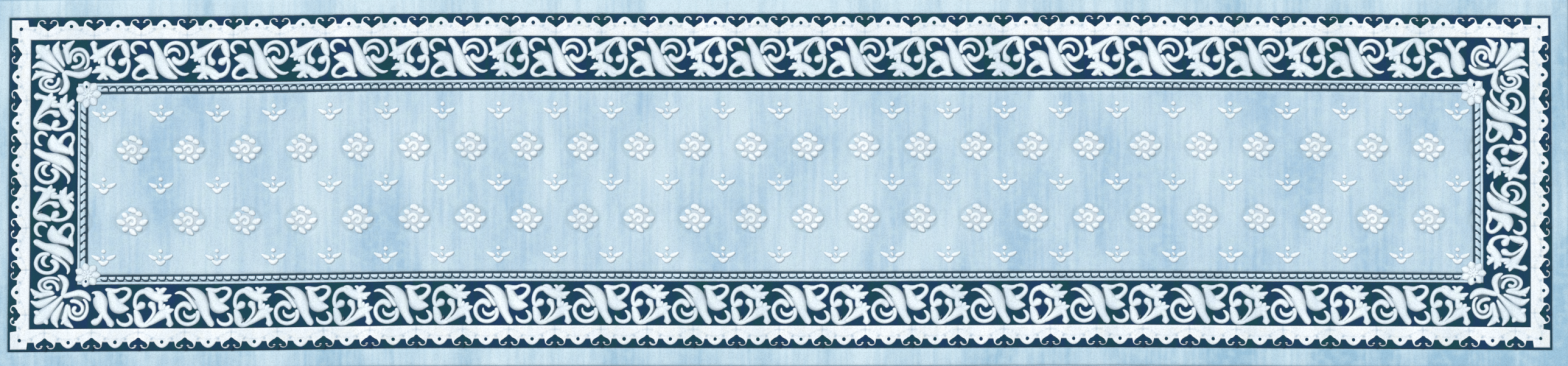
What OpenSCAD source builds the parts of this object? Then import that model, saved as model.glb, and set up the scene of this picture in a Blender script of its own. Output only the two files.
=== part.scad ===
/* [Rug] */
// Length of the rug over its serged ends
rug_length = 3200; // [2200:50:4800]
// Width of the rug over its serged edges
rug_width = 762; // [660:2:1100]

/* [Layers] */
// Thickness of the tape that covers the hem on the underside
hem_t = 0.5; // [0.4:0.1:1]
// Thickness of the backing cloth
backing_t = 0.8; // [0.5:0.05:1.2]
// Thickness of the latex that holds the tufts
latex_t = 1.2; // [0.6:0.1:2]
// Thickness of the cloth that the pile is tufted into
canvas_t = 0.8; // [0.5:0.01:1.2]
// Height of the ground pile above its cloth
ground_pile_h = 8; // [5:0.5:16]
// How far the carved motifs stand above the ground pile
motif_rise = 2.2; // [1:0.1:5]

/* [Edge] */
// Radius of the serged roll around the edge
serge_r = 4.5; // [4:0.1:7]
// Width of the lip that holds the cloth's edge, inside the roll
lip_w = 4.5; // [4:0.5:9]
// Diameter of the cord inside the serging
cord_d = 4; // [2:0.1:4.5]
// Width of the tape under the hem
hem_w = 40; // [20:1:60]

/* [Borders] */
// Width of the plain edge outside the pattern, serging included
edge_w = 43.5; // [30:0.5:60]
// Width of the dark arcade band
arcade_w = 18; // [16:0.5:26]
// Width of the white band inside the arcade
band_w = 25.5; // [18:0.5:40]
// Width of the scroll border along the long sides
border_side_w = 89.5; // [70:0.1:120]
// Width of the scroll border across the ends
border_end_w = 95; // [70:0.5:120]
// Width of the light rail that opens the inner guard
rail_w = 5.5; // [3:0.5:8]
// Width of the guard's ground, between the rail and the dark line
guard_ground_w = 11; // [8:0.5:16]
// Width of the dark line next to the field
guard_line_w = 4; // [3:0.5:6]

/* [Pattern] */
// Wanted spacing of the scrolls along the border
scroll_step = 200; // [170:5:240]
// Wanted spacing of the hearts along the arcade
heart_step = 93; // [84:1:110]
// Spacing of the rosettes and sprigs along the field
flower_step = 113.8; // [100:0.2:150]
// Distance from the field's edge to the outer rows of sprigs
sprig_inset = 37; // [30:1:60]
// Diameter of a field rosette over its petals
rosette_d = 64; // [50:1:76]
// Diameter of a corner rosette over its petals
corner_rosette_d = 48; // [36:1:50]
// Width of a sprig over its wings
sprig_w = 44; // [30:1:56]

/* [Label] */
// Length of the care label along its sewn edge
label_l = 60; // [40:1:80]
// Length of the label's free flap
label_flap = 38; // [20:1:60]
// Width of the label's sewn margin
label_margin_w = 5; // [4:0.5:8]
// Thickness of the label
label_t = 0.35; // [0.2:0.05:0.35]

/* [Fits] */
// Width of the carved groove between two pile colours
carve = 0.4; // [0.2:0.1:0.8]
// Clearance of the edge cord and of the cloth edge inside the serging
edge_clear = 0.1; // [0.05:0.05:0.3]
// Clearance between the label's margin and its flap
label_clear = 0.4; // [0.3:0.1:1]

/* [Hidden] */
SIDES = ["north", "east", "south", "west"];

// Heights of the layers, from the floor up
backing_z = hem_t;
latex_z = backing_z + backing_t;
canvas_z = latex_z + latex_t;
pile_z = canvas_z + canvas_t;
stack_h = pile_z - backing_z;
motif_h = ground_pile_h + motif_rise;
label_z = 0.05;

// Serged edge: its width, and how far the cloth reaches into its slot, short of the cord's bore
serge_w = serge_r + max(lip_w, serge_r);
slot_wall = 0.3;
slot_depth = serge_w - serge_r - cord_d / 2 - edge_clear - slot_wall;

// Half sizes [x, y] of the nested frames, from the rug's edge inwards
half = [rug_length / 2, rug_width / 2];
edge_pile_o = half - [serge_w, serge_w];
arcade_o = half - [edge_w, edge_w];
arcade_side = arcade_w + band_w;
border_o = arcade_o - [arcade_side, arcade_side];
guard_o = border_o - [border_end_w, border_side_w];
ground_o = guard_o - [rail_w, rail_w];
line_o = ground_o - [guard_ground_w, guard_ground_w];
field_o = line_o - [guard_line_w, guard_line_w];
guard_w = rail_w + guard_ground_w + guard_line_w;

// Scrolls: width of the drawing, places of the first and last, and their spacing
scroll_ref_w = 89.5;
scroll_ref_step = 201;
palmette_ref_end_w = 95;
palmette_size = min(border_side_w / scroll_ref_w, border_end_w / palmette_ref_end_w);
side_room = 73;
last_part = 0.73;
end_room = 37;
side_run = 2 * guard_o[0];
end_run = 2 * guard_o[1];
side_count = round((side_run - side_room) / scroll_step + 1 - last_part);
side_step = (side_run - side_room) / (side_count - 1 + last_part);
end_count = round((end_run - end_room) / scroll_step);
end_step = (end_run - end_room) / end_count;
function scroll_lead(side) = side == "north" ? 30.3 : side == "east" ? 31.2 : side == "south" ? 33.5 : 23.2;

// Arcade: a heart at each end of the run, eyelets between, a block at each corner. The gaps
// at the middle of a side are shorter than the others
arcade_ref_w = 18;
arcade_base = 16;
corner_block = 30;
middle_gaps = 4;
middle_short = 0.07;
function heart_lead(side) = is_long(side) ? 76 : 72;
function heart_count(room) = round(room / heart_step + middle_gaps * middle_short) + 1;
function heart_place(i, count, room) =
    let (short_gaps = min(middle_gaps, max(0, i - (count - 1 - middle_gaps) / 2)))
    room * (i - middle_short * short_gaps) / (count - 1 - middle_short * middle_gaps);

// Field rows: as many flowers as keep clear of the guard, the rosettes midway between the sprigs
sprig_row_y = field_o[1] - sprig_inset;
rosette_row_y = sprig_row_y / 2;
flower_margin = 20;
sprig_count = 2 * floor((field_o[0] - flower_margin) / flower_step) + 1;
rosette_count = sprig_count - 1;

// One scroll: [along, inward, width] from the knob's centre and the border's outer edge
KNOB = [[0, 3, 10], [3, 15, 9], [9, 28, 18]];
LEAF = [[-4, 36, 6], [12, 31, 20], [30, 21, 18], [58, 6, 9]];
LOWER_LEAF = [[8, 68, 8], [24, 60, 18], [46, 74, 18], [66, 76, 10]];
LEFT_LIMB = [[54, 10, 6], [38, 27, 9], [40, 50, 14]];
RIGHT_LIMB = [[60, 6, 8], [71, 30, 10], [58, 48, 14]];
HOOK = [[60, 48, 12], [73, 56, 8], [66, 75, 11]];
CREST = [[78, 36, 5], [77, 18, 9], [92, 7, 9], [107, 15, 4]];
DOME = [[85, 42, 8], [100, 32, 24], [118, 52, 24], [125, 78, 12]];
CUP = [[98, 48, 8], [81, 64, 9], [90, 78, 8], [124, 78, 8]];
STEM = [[117, 4, 9], [128, 26, 13], [142, 50, 22], [158, 73, 16], [186, 78, 6]];
RING = [[145, 40, 8], [148, 18, 8], [166, 8, 8], [185, 16, 8], [189, 36, 8], [175, 52, 11], [163, 46, 11]];
LAST_BUD = [[128, 26, 13], [144, 42, 20], [149, 72, 8]];
SCROLL_STROKES = [KNOB, LEAF, LOWER_LEAF, LEFT_LIMB, RIGHT_LIMB, HOOK, CREST, DOME, CUP, STEM, RING];
LAST_STROKES = [KNOB, LEAF, LOWER_LEAF, LEFT_LIMB, RIGHT_LIMB, HOOK, CREST, DOME, CUP, LAST_BUD];

// One palmette: the same, from the border's outer corner; each stroke is mirrored about the diagonal,
// and the end side's half is drawn in beyond a distance
palmette_keep = 60;
palmette_squeeze = 0.8;
PALMETTE_STROKES = [
    [[66, 66, 14], [30, 30, 24], [8, 8, 8]],
    [[68, 58, 10], [48, 24, 16], [42, 6, 4]],
    [[70, 56, 10], [63, 26, 14], [64, 4, 4]],
    [[72, 56, 9], [78, 24, 14], [90, 4, 4]],
    [[80, 48, 6], [84, 28, 8], [97, 21, 8], [112, 30, 8], [114, 48, 8], [84, 68, 14]],
    [[78, 76, 8], [104, 70, 15], [123, 57, 8]]
];

function squeezed(s) = [
    for (p = s) [min(p[0], palmette_keep + palmette_squeeze * (p[0] - palmette_keep)), p[1], p[2]]
];

// One edge of a stroke: each point moved half its width to one side of the line
function stroke_edge(s, side) = [
    for (i = [0:len(s) - 1])
        let (
            t = s[min(i + 1, len(s) - 1)] - s[max(i - 1, 0)],
            reach = side * s[i][2] / 2 / norm([t[0], t[1]])
        )
        [s[i][0] - t[1] * reach, s[i][1] + t[0] * reach]
];
function reversed(p) = [for (i = [len(p) - 1:-1:0]) p[i]];

module stroke(s) {
    polygon(concat(stroke_edge(s, 1), reversed(stroke_edge(s, -1))));
}

// A drawing on one side: along the side from its start corner, and inwards from the frame's edge
module on_side(side, frame) {
    if (side == "north") translate([-frame[0], frame[1]]) mirror([0, 1]) children();
    if (side == "south") rotate(180) on_side("north", frame) children();
    if (side == "west") translate([-frame[0], frame[1]]) rotate(-90) children();
    if (side == "east") rotate(180) on_side("west", frame) children();
}

function is_long(side) = side == "north" || side == "south";
function side_half(side, frame) = is_long(side) ? frame[0] : frame[1];

// One mitred side of the frame between two nested rectangles
module frame_side(side, outer, inner) {
    run = side_half(side, outer);
    depth = is_long(side) ? outer[1] - inner[1] : outer[0] - inner[0];
    inset = is_long(side) ? outer[0] - inner[0] : outer[1] - inner[1];
    on_side(side, outer) polygon([[0, 0], [2 * run, 0], [2 * run - inset, depth], [inset, depth]]);
}

// An area of pile: its drawing drawn in by half the carved groove, and raised
module pile(height) {
    translate([0, 0, pile_z]) linear_extrude(height) offset(delta = -carve / 2) children();
}

module rectangle(half_size) {
    square(2 * half_size, center = true);
}

// Cloth layers
module cloth(z, thickness) {
    reach = serge_w - slot_depth + edge_clear;
    translate([0, 0, z]) linear_extrude(thickness) rectangle(half - [reach, reach]);
}

module backing_cloth() color("tan") cloth(backing_z, backing_t);
module latex_layer() color("ivory") cloth(latex_z, latex_t);
module tufting_cloth() color("wheat") cloth(canvas_z, canvas_t);

module hem_tape(side) {
    outer = edge_pile_o - [edge_clear, edge_clear];
    color("lightsteelblue") linear_extrude(hem_t) frame_side(side, outer, outer - [hem_w, hem_w]);
}

// Serged edge: a roll of yarn over the cord, with the cloth edge held in its slot
module serging_profile() {
    difference() {
        union() {
            translate([-serge_r, serge_r]) circle(serge_r, $fn = 48);
            translate([-serge_w, 0]) square([serge_w - serge_r, 2 * serge_r]);
        }
        translate([-serge_r, serge_r]) circle(cord_d / 2 + edge_clear, $fn = 32);
        translate([-serge_w - 1, backing_z]) square([slot_depth + 1, stack_h]);
    }
}

module serging_bar(side) {
    run = side_half(side, half);
    turn = side == "north" ? 90 : side == "west" ? 180 : side == "south" ? 270 : 0;
    off = is_long(side) ? half[1] : half[0];
    rotate(turn) translate([off, run, 0]) rotate([90, 0, 0]) linear_extrude(2 * run) serging_profile();
}

module serging(side) {
    inner = half - [serge_w + 1, serge_w + 1];
    color("lightblue") intersection() {
        serging_bar(side);
        linear_extrude(2 * serge_r) frame_side(side, half, inner);
    }
}

module edge_cord() {
    c = half - [serge_r, serge_r];
    color("linen") translate([0, 0, serge_r]) {
        for (y = [-c[1], c[1]])
            translate([-c[0], y, 0]) rotate([0, 90, 0]) cylinder(d = cord_d, h = 2 * c[0], $fn = 32);
        for (x = [-c[0], c[0]])
            translate([x, c[1], 0]) rotate([90, 0, 0]) cylinder(d = cord_d, h = 2 * c[1], $fn = 32);
        for (x = [-c[0], c[0]], y = [-c[1], c[1]])
            translate([x, y, 0]) sphere(d = cord_d, $fn = 32);
    }
}

module edge_pile(side) color("lightblue") pile(ground_pile_h) frame_side(side, edge_pile_o, arcade_o);

// Arcade: the two loops beside a heart, and an eyelet, along the band's outer edge
module heart_loops() {
    polygon([[-22, 17], [-21, 8], [-12, 2], [-5, 6], [0, 24], [5, 6], [12, 2], [21, 8], [22, 17]]);
}

module eyelet() {
    polygon([[-15, 17], [-6, 5], [6, 5], [15, 17]]);
}

module heart_notch() {
    polygon([[-6, 5], [6, 5], [0, 24]]);
}

module arcade_drawing(side) {
    run = 2 * side_half(side, arcade_o);
    lead = heart_lead(side);
    room = run - 2 * lead;
    last = heart_count(room) - 1;
    size = [1, arcade_w / arcade_ref_w];
    base = arcade_base * size[1];
    difference() {
        union() {
            translate([0, base]) square([run, arcade_side - base]);
            square([corner_block, arcade_side]);
            translate([run - corner_block, 0]) square([corner_block, arcade_side]);
            for (i = [0:last]) translate([lead + heart_place(i, last + 1, room), 0]) scale(size) heart_loops();
            for (i = [0.5:last]) translate([lead + heart_place(i, last + 1, room), 0]) scale(size) eyelet();
        }
        for (i = [0:last]) translate([lead + heart_place(i, last + 1, room), 0]) scale(size) heart_notch();
    }
}

module arcade_band(side) {
    color("aliceblue") pile(motif_h) intersection() {
        frame_side(side, arcade_o, border_o);
        on_side(side, arcade_o) arcade_drawing(side);
    }
}

module arcade_ground(side) {
    color("midnightblue") pile(ground_pile_h) difference() {
        frame_side(side, arcade_o, border_o);
        on_side(side, arcade_o) arcade_drawing(side);
    }
}

// Main border: a run of scrolls, the last one shorter on the long sides
module scroll_drawing(strokes) {
    for (s = strokes) stroke(s);
}

module scroll_run(side) {
    long = is_long(side);
    lead = (long ? border_end_w : border_side_w) + scroll_lead(side);
    count = long ? side_count : end_count;
    step = long ? side_step : end_step;
    size = [step / scroll_ref_step, (long ? border_side_w : border_end_w) / scroll_ref_w];
    on_side(side, border_o)
        for (i = [0:count - 1])
            translate([lead + i * step, 0]) scale(size)
                scroll_drawing(long && i == count - 1 ? LAST_STROKES : SCROLL_STROKES);
}

module scrolls(side) {
    color("aliceblue") pile(motif_h) difference() {
        scroll_run(side);
        palmette_drawing();
    }
}

module palmette_drawing() {
    for (east = [0, 1], south = [0, 1])
        mirror([east, 0]) mirror([0, south]) translate([-border_o[0], border_o[1]])
            mirror([0, 1]) scale(palmette_size) {
                for (s = PALMETTE_STROKES) stroke(s);
                mirror([1, -1]) for (s = PALMETTE_STROKES) stroke(squeezed(s));
            }
}

module corner_palmettes() color("aliceblue") pile(motif_h) palmette_drawing();

// A flower of eight pointed petals
module flower(d) {
    polygon([for (k = [0:15]) let (r = d * (k % 2 == 0 ? 0.5 : 0.36)) [r * cos(22.5 * k), r * sin(22.5 * k)]]);
}

module corner_rosette_drawing() {
    c = guard_o - [guard_w, guard_w];
    for (x = [-c[0], c[0]], y = [-c[1], c[1]])
        translate([x, y]) flower(corner_rosette_d);
}

module corner_rosettes() color("white") pile(motif_h) corner_rosette_drawing();

module border_ground(side) {
    color("darkslategray") pile(ground_pile_h) difference() {
        frame_side(side, border_o, guard_o);
        scroll_run(side);
        palmette_drawing();
        corner_rosette_drawing();
    }
}

// Inner guard: a light rail, a light ground, and a dark line next to the field
module guard_ring(outer, inner) {
    pile(ground_pile_h) difference() {
        rectangle(outer);
        rectangle(inner);
        corner_rosette_drawing();
    }
}

module guard_rail() color("lightblue") guard_ring(guard_o, ground_o);
module guard_ground() color("lightblue") guard_ring(ground_o, line_o);
module guard_line() color("slategray") guard_ring(line_o, field_o);

// Field: rows of rosettes and, half a step along, rows of sprigs
module sprig_drawing() {
    scale(sprig_w / 44)
        polygon([[-22, 5], [-7, -3], [0, -15], [7, -3], [22, 5], [8, 6], [0, 12], [-8, 6]]);
}

module rosette_row(y) {
    for (i = [0:rosette_count - 1])
        translate([(i - (rosette_count - 1) / 2) * flower_step, y]) flower(rosette_d);
}

module sprig_row(y) {
    for (i = [0:sprig_count - 1])
        translate([(i - (sprig_count - 1) / 2) * flower_step, y]) sprig_drawing();
}

module field_pile() {
    color("lightblue") pile(ground_pile_h) difference() {
        rectangle(field_o);
        corner_rosette_drawing();
        for (y = [-rosette_row_y, rosette_row_y]) rosette_row(y);
        for (y = [-sprig_row_y, 0, sprig_row_y]) sprig_row(y);
    }
}

module rosettes(y) color("white") pile(motif_h) rosette_row(y);
module sprigs(y) color("white") pile(motif_h) sprig_row(y);

// Care label under the rug: a sewn margin, and a flap that folds down along it
label_x = -half[0] + 160;
label_y = -(edge_pile_o[1] - edge_clear - hem_w) + 1;
hinge_y = label_y + label_margin_w;

module label_margin() {
    color("white") translate([label_x, label_y, label_z])
        cube([label_l, label_margin_w, hem_t - label_z]);
}

module care_label() {
    color("white") translate([label_x, hinge_y + label_clear, label_z])
        cube([label_l, label_flap - label_clear, label_t]);
}

backing_cloth();
latex_layer();
tufting_cloth();
edge_cord();
hem_tape("north");  // hem_tape_north
hem_tape("east");  // hem_tape_east
hem_tape("south");  // hem_tape_south
hem_tape("west");  // hem_tape_west
serging("north");  // serging_north
serging("east");  // serging_east
serging("south");  // serging_south
serging("west");  // serging_west
edge_pile("north");  // edge_pile_north
edge_pile("east");  // edge_pile_east
edge_pile("south");  // edge_pile_south
edge_pile("west");  // edge_pile_west
arcade_ground("north");  // arcade_ground_north
arcade_ground("east");  // arcade_ground_east
arcade_ground("south");  // arcade_ground_south
arcade_ground("west");  // arcade_ground_west
arcade_band("north");  // arcade_band_north
arcade_band("east");  // arcade_band_east
arcade_band("south");  // arcade_band_south
arcade_band("west");  // arcade_band_west
border_ground("north");  // border_ground_north
border_ground("east");  // border_ground_east
border_ground("south");  // border_ground_south
border_ground("west");  // border_ground_west
scrolls("north");  // scrolls_north
scrolls("east");  // scrolls_east
scrolls("south");  // scrolls_south
scrolls("west");  // scrolls_west
guard_rail();
guard_ground();
guard_line();
corner_palmettes();
corner_rosettes();
field_pile();
rosettes(rosette_row_y);  // rosettes_north_row
rosettes(-rosette_row_y);  // rosettes_south_row
sprigs(sprig_row_y);  // sprigs_north_row
sprigs(0);  // sprigs_middle_row
sprigs(-sprig_row_y);  // sprigs_south_row
label_margin();
care_label();
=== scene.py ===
"""A hand-tufted runner rug: carved light motifs on dark borders round a pale field of flowers.

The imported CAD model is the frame. Every new piece is worked out in millimetres in the rug's own axes
(x along the length, y across the width, z up), with numpy, and goes into Blender in metres. Borders are
drawn along their own side: u runs along the side from its start corner and v inwards from the edge.
"""

import logging
import math
from collections.abc import Sequence
from dataclasses import dataclass, field
from enum import Enum

import bpy
import numpy as np
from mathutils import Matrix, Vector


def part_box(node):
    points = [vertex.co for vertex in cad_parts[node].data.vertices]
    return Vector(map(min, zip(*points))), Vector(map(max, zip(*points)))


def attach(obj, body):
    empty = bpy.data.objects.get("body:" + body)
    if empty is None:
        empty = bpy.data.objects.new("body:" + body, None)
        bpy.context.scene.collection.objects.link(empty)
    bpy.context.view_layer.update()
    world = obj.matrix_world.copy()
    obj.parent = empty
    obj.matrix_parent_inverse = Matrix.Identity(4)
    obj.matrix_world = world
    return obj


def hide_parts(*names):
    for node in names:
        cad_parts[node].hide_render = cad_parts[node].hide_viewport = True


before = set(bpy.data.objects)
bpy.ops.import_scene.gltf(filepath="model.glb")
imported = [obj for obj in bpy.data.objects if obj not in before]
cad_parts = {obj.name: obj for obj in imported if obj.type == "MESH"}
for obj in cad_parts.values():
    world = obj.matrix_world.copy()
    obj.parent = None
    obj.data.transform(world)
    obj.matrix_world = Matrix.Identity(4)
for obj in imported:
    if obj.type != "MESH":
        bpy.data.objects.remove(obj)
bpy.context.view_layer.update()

log = logging.getLogger("runner_rug")
MM = 0.001
SEED = 20
FIELD_SEED = SEED + 60
SERGING_SEED = SEED + 70
CLOTH_SEED = SEED + 80
LABEL_SEED = SEED + 90
Socket = bpy.types.NodeSocket
Material = bpy.types.Material


# ---------------------------------------------------------------- surfaces

Stroke = Sequence[tuple[float, float, float]]


@dataclass
class Patch:
    """A surface in millimetres: points, faces with any number of corners, and how open each point's pile is.

    cut is 1 where the pile stands open to the light and 0 in the bottom of a carved groove; the finishes
    paint shade where it is low.
    """

    points: np.ndarray
    faces: list[np.ndarray]
    cut: np.ndarray

    def flipped(self) -> "Patch":
        """Returns the same surface with its faces turned over."""
        return Patch(self.points, [f[:, ::-1] for f in self.faces], self.cut)

    def shifted(self, u: float) -> "Patch":
        """Returns the patch moved along its side by u."""
        return Patch(self.points + np.array([u, 0, 0]), self.faces, self.cut)

    def turned(self, sign_x: int, sign_y: int) -> "Patch":
        """Returns the patch with x and y times those signs, and its faces still outwards."""
        patch = Patch(self.points * [sign_x, sign_y, 1], self.faces, self.cut)
        return patch.flipped() if sign_x * sign_y < 0 else patch

    def outward(self) -> "Patch":
        """Returns a closed patch with its faces outwards: turned over if its signed volume is negative."""
        volume = 0.0
        for f in self.faces:
            a = self.points[f[:, 0]]
            for k in range(1, f.shape[1] - 1):
                b, c = self.points[f[:, k]], self.points[f[:, k + 1]]
                volume += float(np.einsum("ij,ij->i", a, np.cross(b, c)).sum())
        return self.flipped() if volume < 0 else self


def joined(patches: list[Patch]) -> Patch:
    """Joins patches into one, with the point numbers of each shifted past those before it.

    Args:
        patches: the surfaces to join, at least one.

    Returns:
        One patch that holds them all.
    """
    starts = np.cumsum([0] + [len(p.points) for p in patches])
    faces = [f + start for p, start in zip(patches, starts) for f in p.faces]
    points = np.concatenate([p.points for p in patches])
    return Patch(points, faces, np.concatenate([p.cut for p in patches]))


def repeated(patch: Patch, places: np.ndarray, sizes: np.ndarray | None = None) -> Patch:
    """Copies a patch to each place, scaled about its own origin.

    Args:
        patch: one copy, drawn about (0, 0).
        places: (n, 2) places in u and v.
        sizes: (n, 2) scales in u and v, or None for its own size.

    Returns:
        All the copies as one patch. Point i of copy k is places[k] + sizes[k] * points[i].
    """
    n, count = len(places), len(patch.points)
    sizes = np.ones((n, 2)) if sizes is None else sizes
    scale = np.concatenate([sizes, np.ones((n, 1))], axis=1)[:, None, :]
    shift = np.concatenate([places, np.zeros((n, 1))], axis=1)[:, None, :]
    points = (patch.points[None] * scale + shift).reshape(-1, 3)
    offsets = (np.arange(n) * count)[:, None, None]
    faces = [(f[None] + offsets).reshape(-1, f.shape[1]) for f in patch.faces]
    return Patch(points, faces, np.tile(patch.cut, n))


def mirrored(stroke: Stroke) -> Stroke:
    """Returns a stroke with u turned over."""
    return [(-u, v, w) for u, v, w in stroke]


def row_at(u: np.ndarray, v: float) -> np.ndarray:
    """Returns the (n, 2) places of a row: each u, all at the same v."""
    return np.stack([u, np.full_like(u, v)], axis=1)


def grid_faces(rows: int, columns: int) -> np.ndarray:
    """Returns the quads of a grid whose point (i, j) has the number i * columns + j, wound i before j."""
    i, j = np.meshgrid(np.arange(rows - 1), np.arange(columns - 1), indexing="ij")
    a = (i * columns + j).ravel()
    return np.stack([a, a + columns, a + columns + 1, a + 1], axis=1)


def rim_of(rows: int, columns: int) -> np.ndarray:
    """Returns the numbers of the outermost points of such a grid, once round."""
    number = np.arange(rows * columns).reshape(rows, columns)
    return np.concatenate([number[:-1, 0], number[-1, :-1], number[:0:-1, -1], number[0, :0:-1]])


def lattice(x: np.ndarray, y: np.ndarray, cell: float, seed: int) -> np.ndarray:
    """Smooth random heights: random values from -1 to 1 at the corners of square cells, eased between them.

    Args:
        x: coordinates along.
        y: coordinates across, of the same shape.
        cell: the side of a cell, in the same unit.
        seed: chooses the random values.

    Returns:
        One height for each point.
    """
    gx, gy = x / cell, y / cell
    ix, iy = np.floor(gx).astype(np.int64), np.floor(gy).astype(np.int64)
    fx, fy = gx - ix, gy - iy
    fx, fy = fx * fx * (3 - 2 * fx), fy * fy * (3 - 2 * fy)

    def corner(i: np.ndarray, j: np.ndarray) -> np.ndarray:
        """Returns the random value at a lattice corner: a sine hash of its two numbers and the seed."""
        h = np.sin(i * 127.1 + j * 311.7 + seed * 74.7) * 43758.5453
        return 2 * (h - np.floor(h)) - 1

    low = corner(ix, iy) * (1 - fx) + corner(ix + 1, iy) * fx
    high = corner(ix, iy + 1) * (1 - fx) + corner(ix + 1, iy + 1) * fx
    return low * (1 - fy) + high * fy


def block(x: np.ndarray, y: np.ndarray, z: np.ndarray, cut: np.ndarray, floor_z: float) -> Patch:
    """A closed block of pile: a height field, walls straight down from its rim, and a flat underside.

    Args:
        x: (n, m) places of the top's grid along.
        y: (n, m) places of the top's grid across.
        z: (n, m) heights of the top.
        cut: (n, m) openness of the top.
        floor_z: height of the underside.

    Returns:
        The closed block.
    """
    rows, columns = x.shape
    rim = rim_of(rows, columns)
    top = np.stack([x, y, z], axis=-1).reshape(-1, 3)
    low = top[rim].copy()
    low[:, 2] = floor_z
    under = rows * columns + np.arange(len(rim))
    after, under_after = np.roll(rim, -1), np.roll(under, -1)
    walls = np.stack([under, under_after, after, rim], axis=1)
    # painted shade: the walls and the underside get openness 0
    shade = np.concatenate([cut.reshape(-1), np.zeros(len(rim))])
    faces = [grid_faces(rows, columns), walls, under[::-1][None]]
    return Patch(np.concatenate([top, low]), faces, shade).outward()


def smooth_line(points: list[tuple[float, ...]], per_span: int) -> np.ndarray:
    """A smooth line through given points: a Catmull-Rom cubic on each span.

    Args:
        points: rows of any length, such as (u, v, width).
        per_span: how many steps each span is cut into.

    Returns:
        The line's rows, from the first point to the last.
    """
    p = np.array(points, float)
    ends = np.concatenate([[2 * p[0] - p[1]], p, [2 * p[-1] - p[-2]]])
    t = np.linspace(0, 1, per_span, endpoint=False)[None, :, None]
    a, b, c, d = (ends[k : k + len(p) - 1][:, None, :] for k in range(4))
    line = 0.5 * (2 * b + (c - a) * t + (2 * a - 5 * b + 4 * c - d) * t**2 + (3 * b - a - 3 * c + d) * t**3)
    return np.concatenate([line.reshape(-1, p.shape[1]), p[-1:]])


@dataclass(frozen=True)
class Crown:
    """The cross-section of a carved ribbon of pile: a steep wall each side and a soft crown between them.

    swell widens every ribbon, because pile spreads over the line that it is tufted to. A ribbon is never
    narrower than least_w, keeps end_rise of its height and end_open of its openness at its tips, where the
    lower openness paints shade, and gets up to side_dark of painted shade at its walls.
    """

    foot_z: float
    top_z: float
    swell: float = 1.03
    shares: tuple[float, ...] = (-1.0, -0.94, -0.72, -0.27, 0.27, 0.72, 0.94, 1.0)
    squareness: float = 4.0
    least_w: float = 0.4
    end_rise: float = 0.35
    end_open: float = 0.4
    side_dark: float = 0.95

    def heights(self) -> np.ndarray:
        """Returns z at each share s of the half width: foot + rise * (1 - |s| ** squareness) ** 0.4."""
        s = np.abs(np.array(self.shares))
        return self.foot_z + (self.top_z - self.foot_z) * np.clip(1 - s**self.squareness, 0, 1) ** 0.4


THREAD_SHARES = (-1.0, -0.5, 0.5, 1.0)


def ribbon(points: Stroke, crown: Crown, per_span: int = 5) -> Patch:
    """A carved ribbon: the crown's profile carried along a smooth line, scaled to the line's width there.

    The two ends are rounded: over the last half width the ribbon narrows as a quarter circle does.

    Args:
        points: (u, v, width) places that the line runs through.
        crown: the cross-section.
        per_span: steps between two points.

    Returns:
        The closed ribbon.
    """
    line = smooth_line(points, per_span)
    step = np.gradient(line[:, :2], axis=0)
    length = np.linalg.norm(step, axis=1, keepdims=True)
    normal = np.stack([-step[:, 1], step[:, 0]], axis=1) / np.maximum(length, 1e-9)
    along = np.concatenate([[0], np.cumsum(np.linalg.norm(np.diff(line[:, :2], axis=0), axis=1))])
    half = np.maximum(line[:, 2], crown.least_w) / 2 * crown.swell
    from_end = np.minimum(along, along[-1] - along) / np.maximum(half, 1e-6)
    cap = np.sqrt(1 - (1 - np.clip(from_end + 0.08, 0, 1)) ** 2)
    shares = np.array(crown.shares)
    across = shares[None, :, None] * (half * cap)[:, None, None] * normal[:, None, :]
    plan = line[:, None, :2] + across
    rise = crown.heights() - crown.foot_z
    z = crown.foot_z + rise[None, :] * (crown.end_rise + (1 - crown.end_rise) * cap)[:, None]
    points3 = np.concatenate([plan, z[:, :, None]], axis=2).reshape(-1, 3)
    n, m = len(line), len(shares)
    number = np.arange(n * m).reshape(n, m)
    under = np.stack([number[:-1, 0], number[:-1, -1], number[1:, -1], number[1:, 0]], axis=1)
    half_m = m // 2
    caps = []
    for end, turn in ((number[0], False), (number[-1], True)):
        k = np.arange(half_m - 1)
        quad = np.stack([end[k], end[k + 1], end[m - 2 - k], end[m - 1 - k]], axis=1)
        caps.append(quad[:, ::-1] if turn else quad)
    # painted shade: the openness falls at the tips and towards both walls
    open_end = crown.end_open + (1 - crown.end_open) * cap
    shade = np.tile(1 - crown.side_dark * np.abs(shares) ** 2.6, (n, 1)) * open_end[:, None]
    return Patch(points3, [grid_faces(n, m), under[:, ::-1], *caps], shade.reshape(-1)).outward()


def carved(strokes: Sequence[Stroke], crown: Crown, per_span: int = 5) -> Patch:
    """Returns the strokes as ribbons, joined."""
    return joined([ribbon(stroke, crown, per_span) for stroke in strokes])


def disc(radius_u: float, radius_v: float, crown: Crown, sides: int = 16) -> Patch:
    """A round dome of pile: rings that rise as a quarter circle does, closed at the top and underneath.

    Args:
        radius_u: half its size along.
        radius_v: half its size inwards.
        crown: gives the foot and the top.
        sides: points round each ring.

    Returns:
        The closed dome about (0, 0).
    """
    lift = np.radians([0, 28, 55, 78])
    turn = np.linspace(0, 2 * math.pi, sides, endpoint=False)
    r, h = np.cos(lift) ** 0.7, np.sin(lift)
    u = radius_u * r[:, None] * np.cos(turn)
    v = radius_v * r[:, None] * np.sin(turn)
    z = np.repeat((crown.foot_z + (crown.top_z - crown.foot_z) * h)[:, None], sides, axis=1)
    points = np.stack([u, v, z], axis=-1).reshape(-1, 3)
    number = np.arange(len(lift) * sides).reshape(len(lift), sides)
    after = np.roll(number, -1, axis=1)
    walls = np.stack([number[:-1], after[:-1], after[1:], number[1:]], axis=-1).reshape(-1, 4)
    # painted shade: openness rises with the ring's height, so the foot is darkest
    shade = np.repeat(h[:, None], sides, axis=1).reshape(-1)
    return Patch(points, [walls, number[-1][None], number[0][::-1][None]], shade).outward()


# ---------------------------------------------------------------- where things lie


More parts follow.
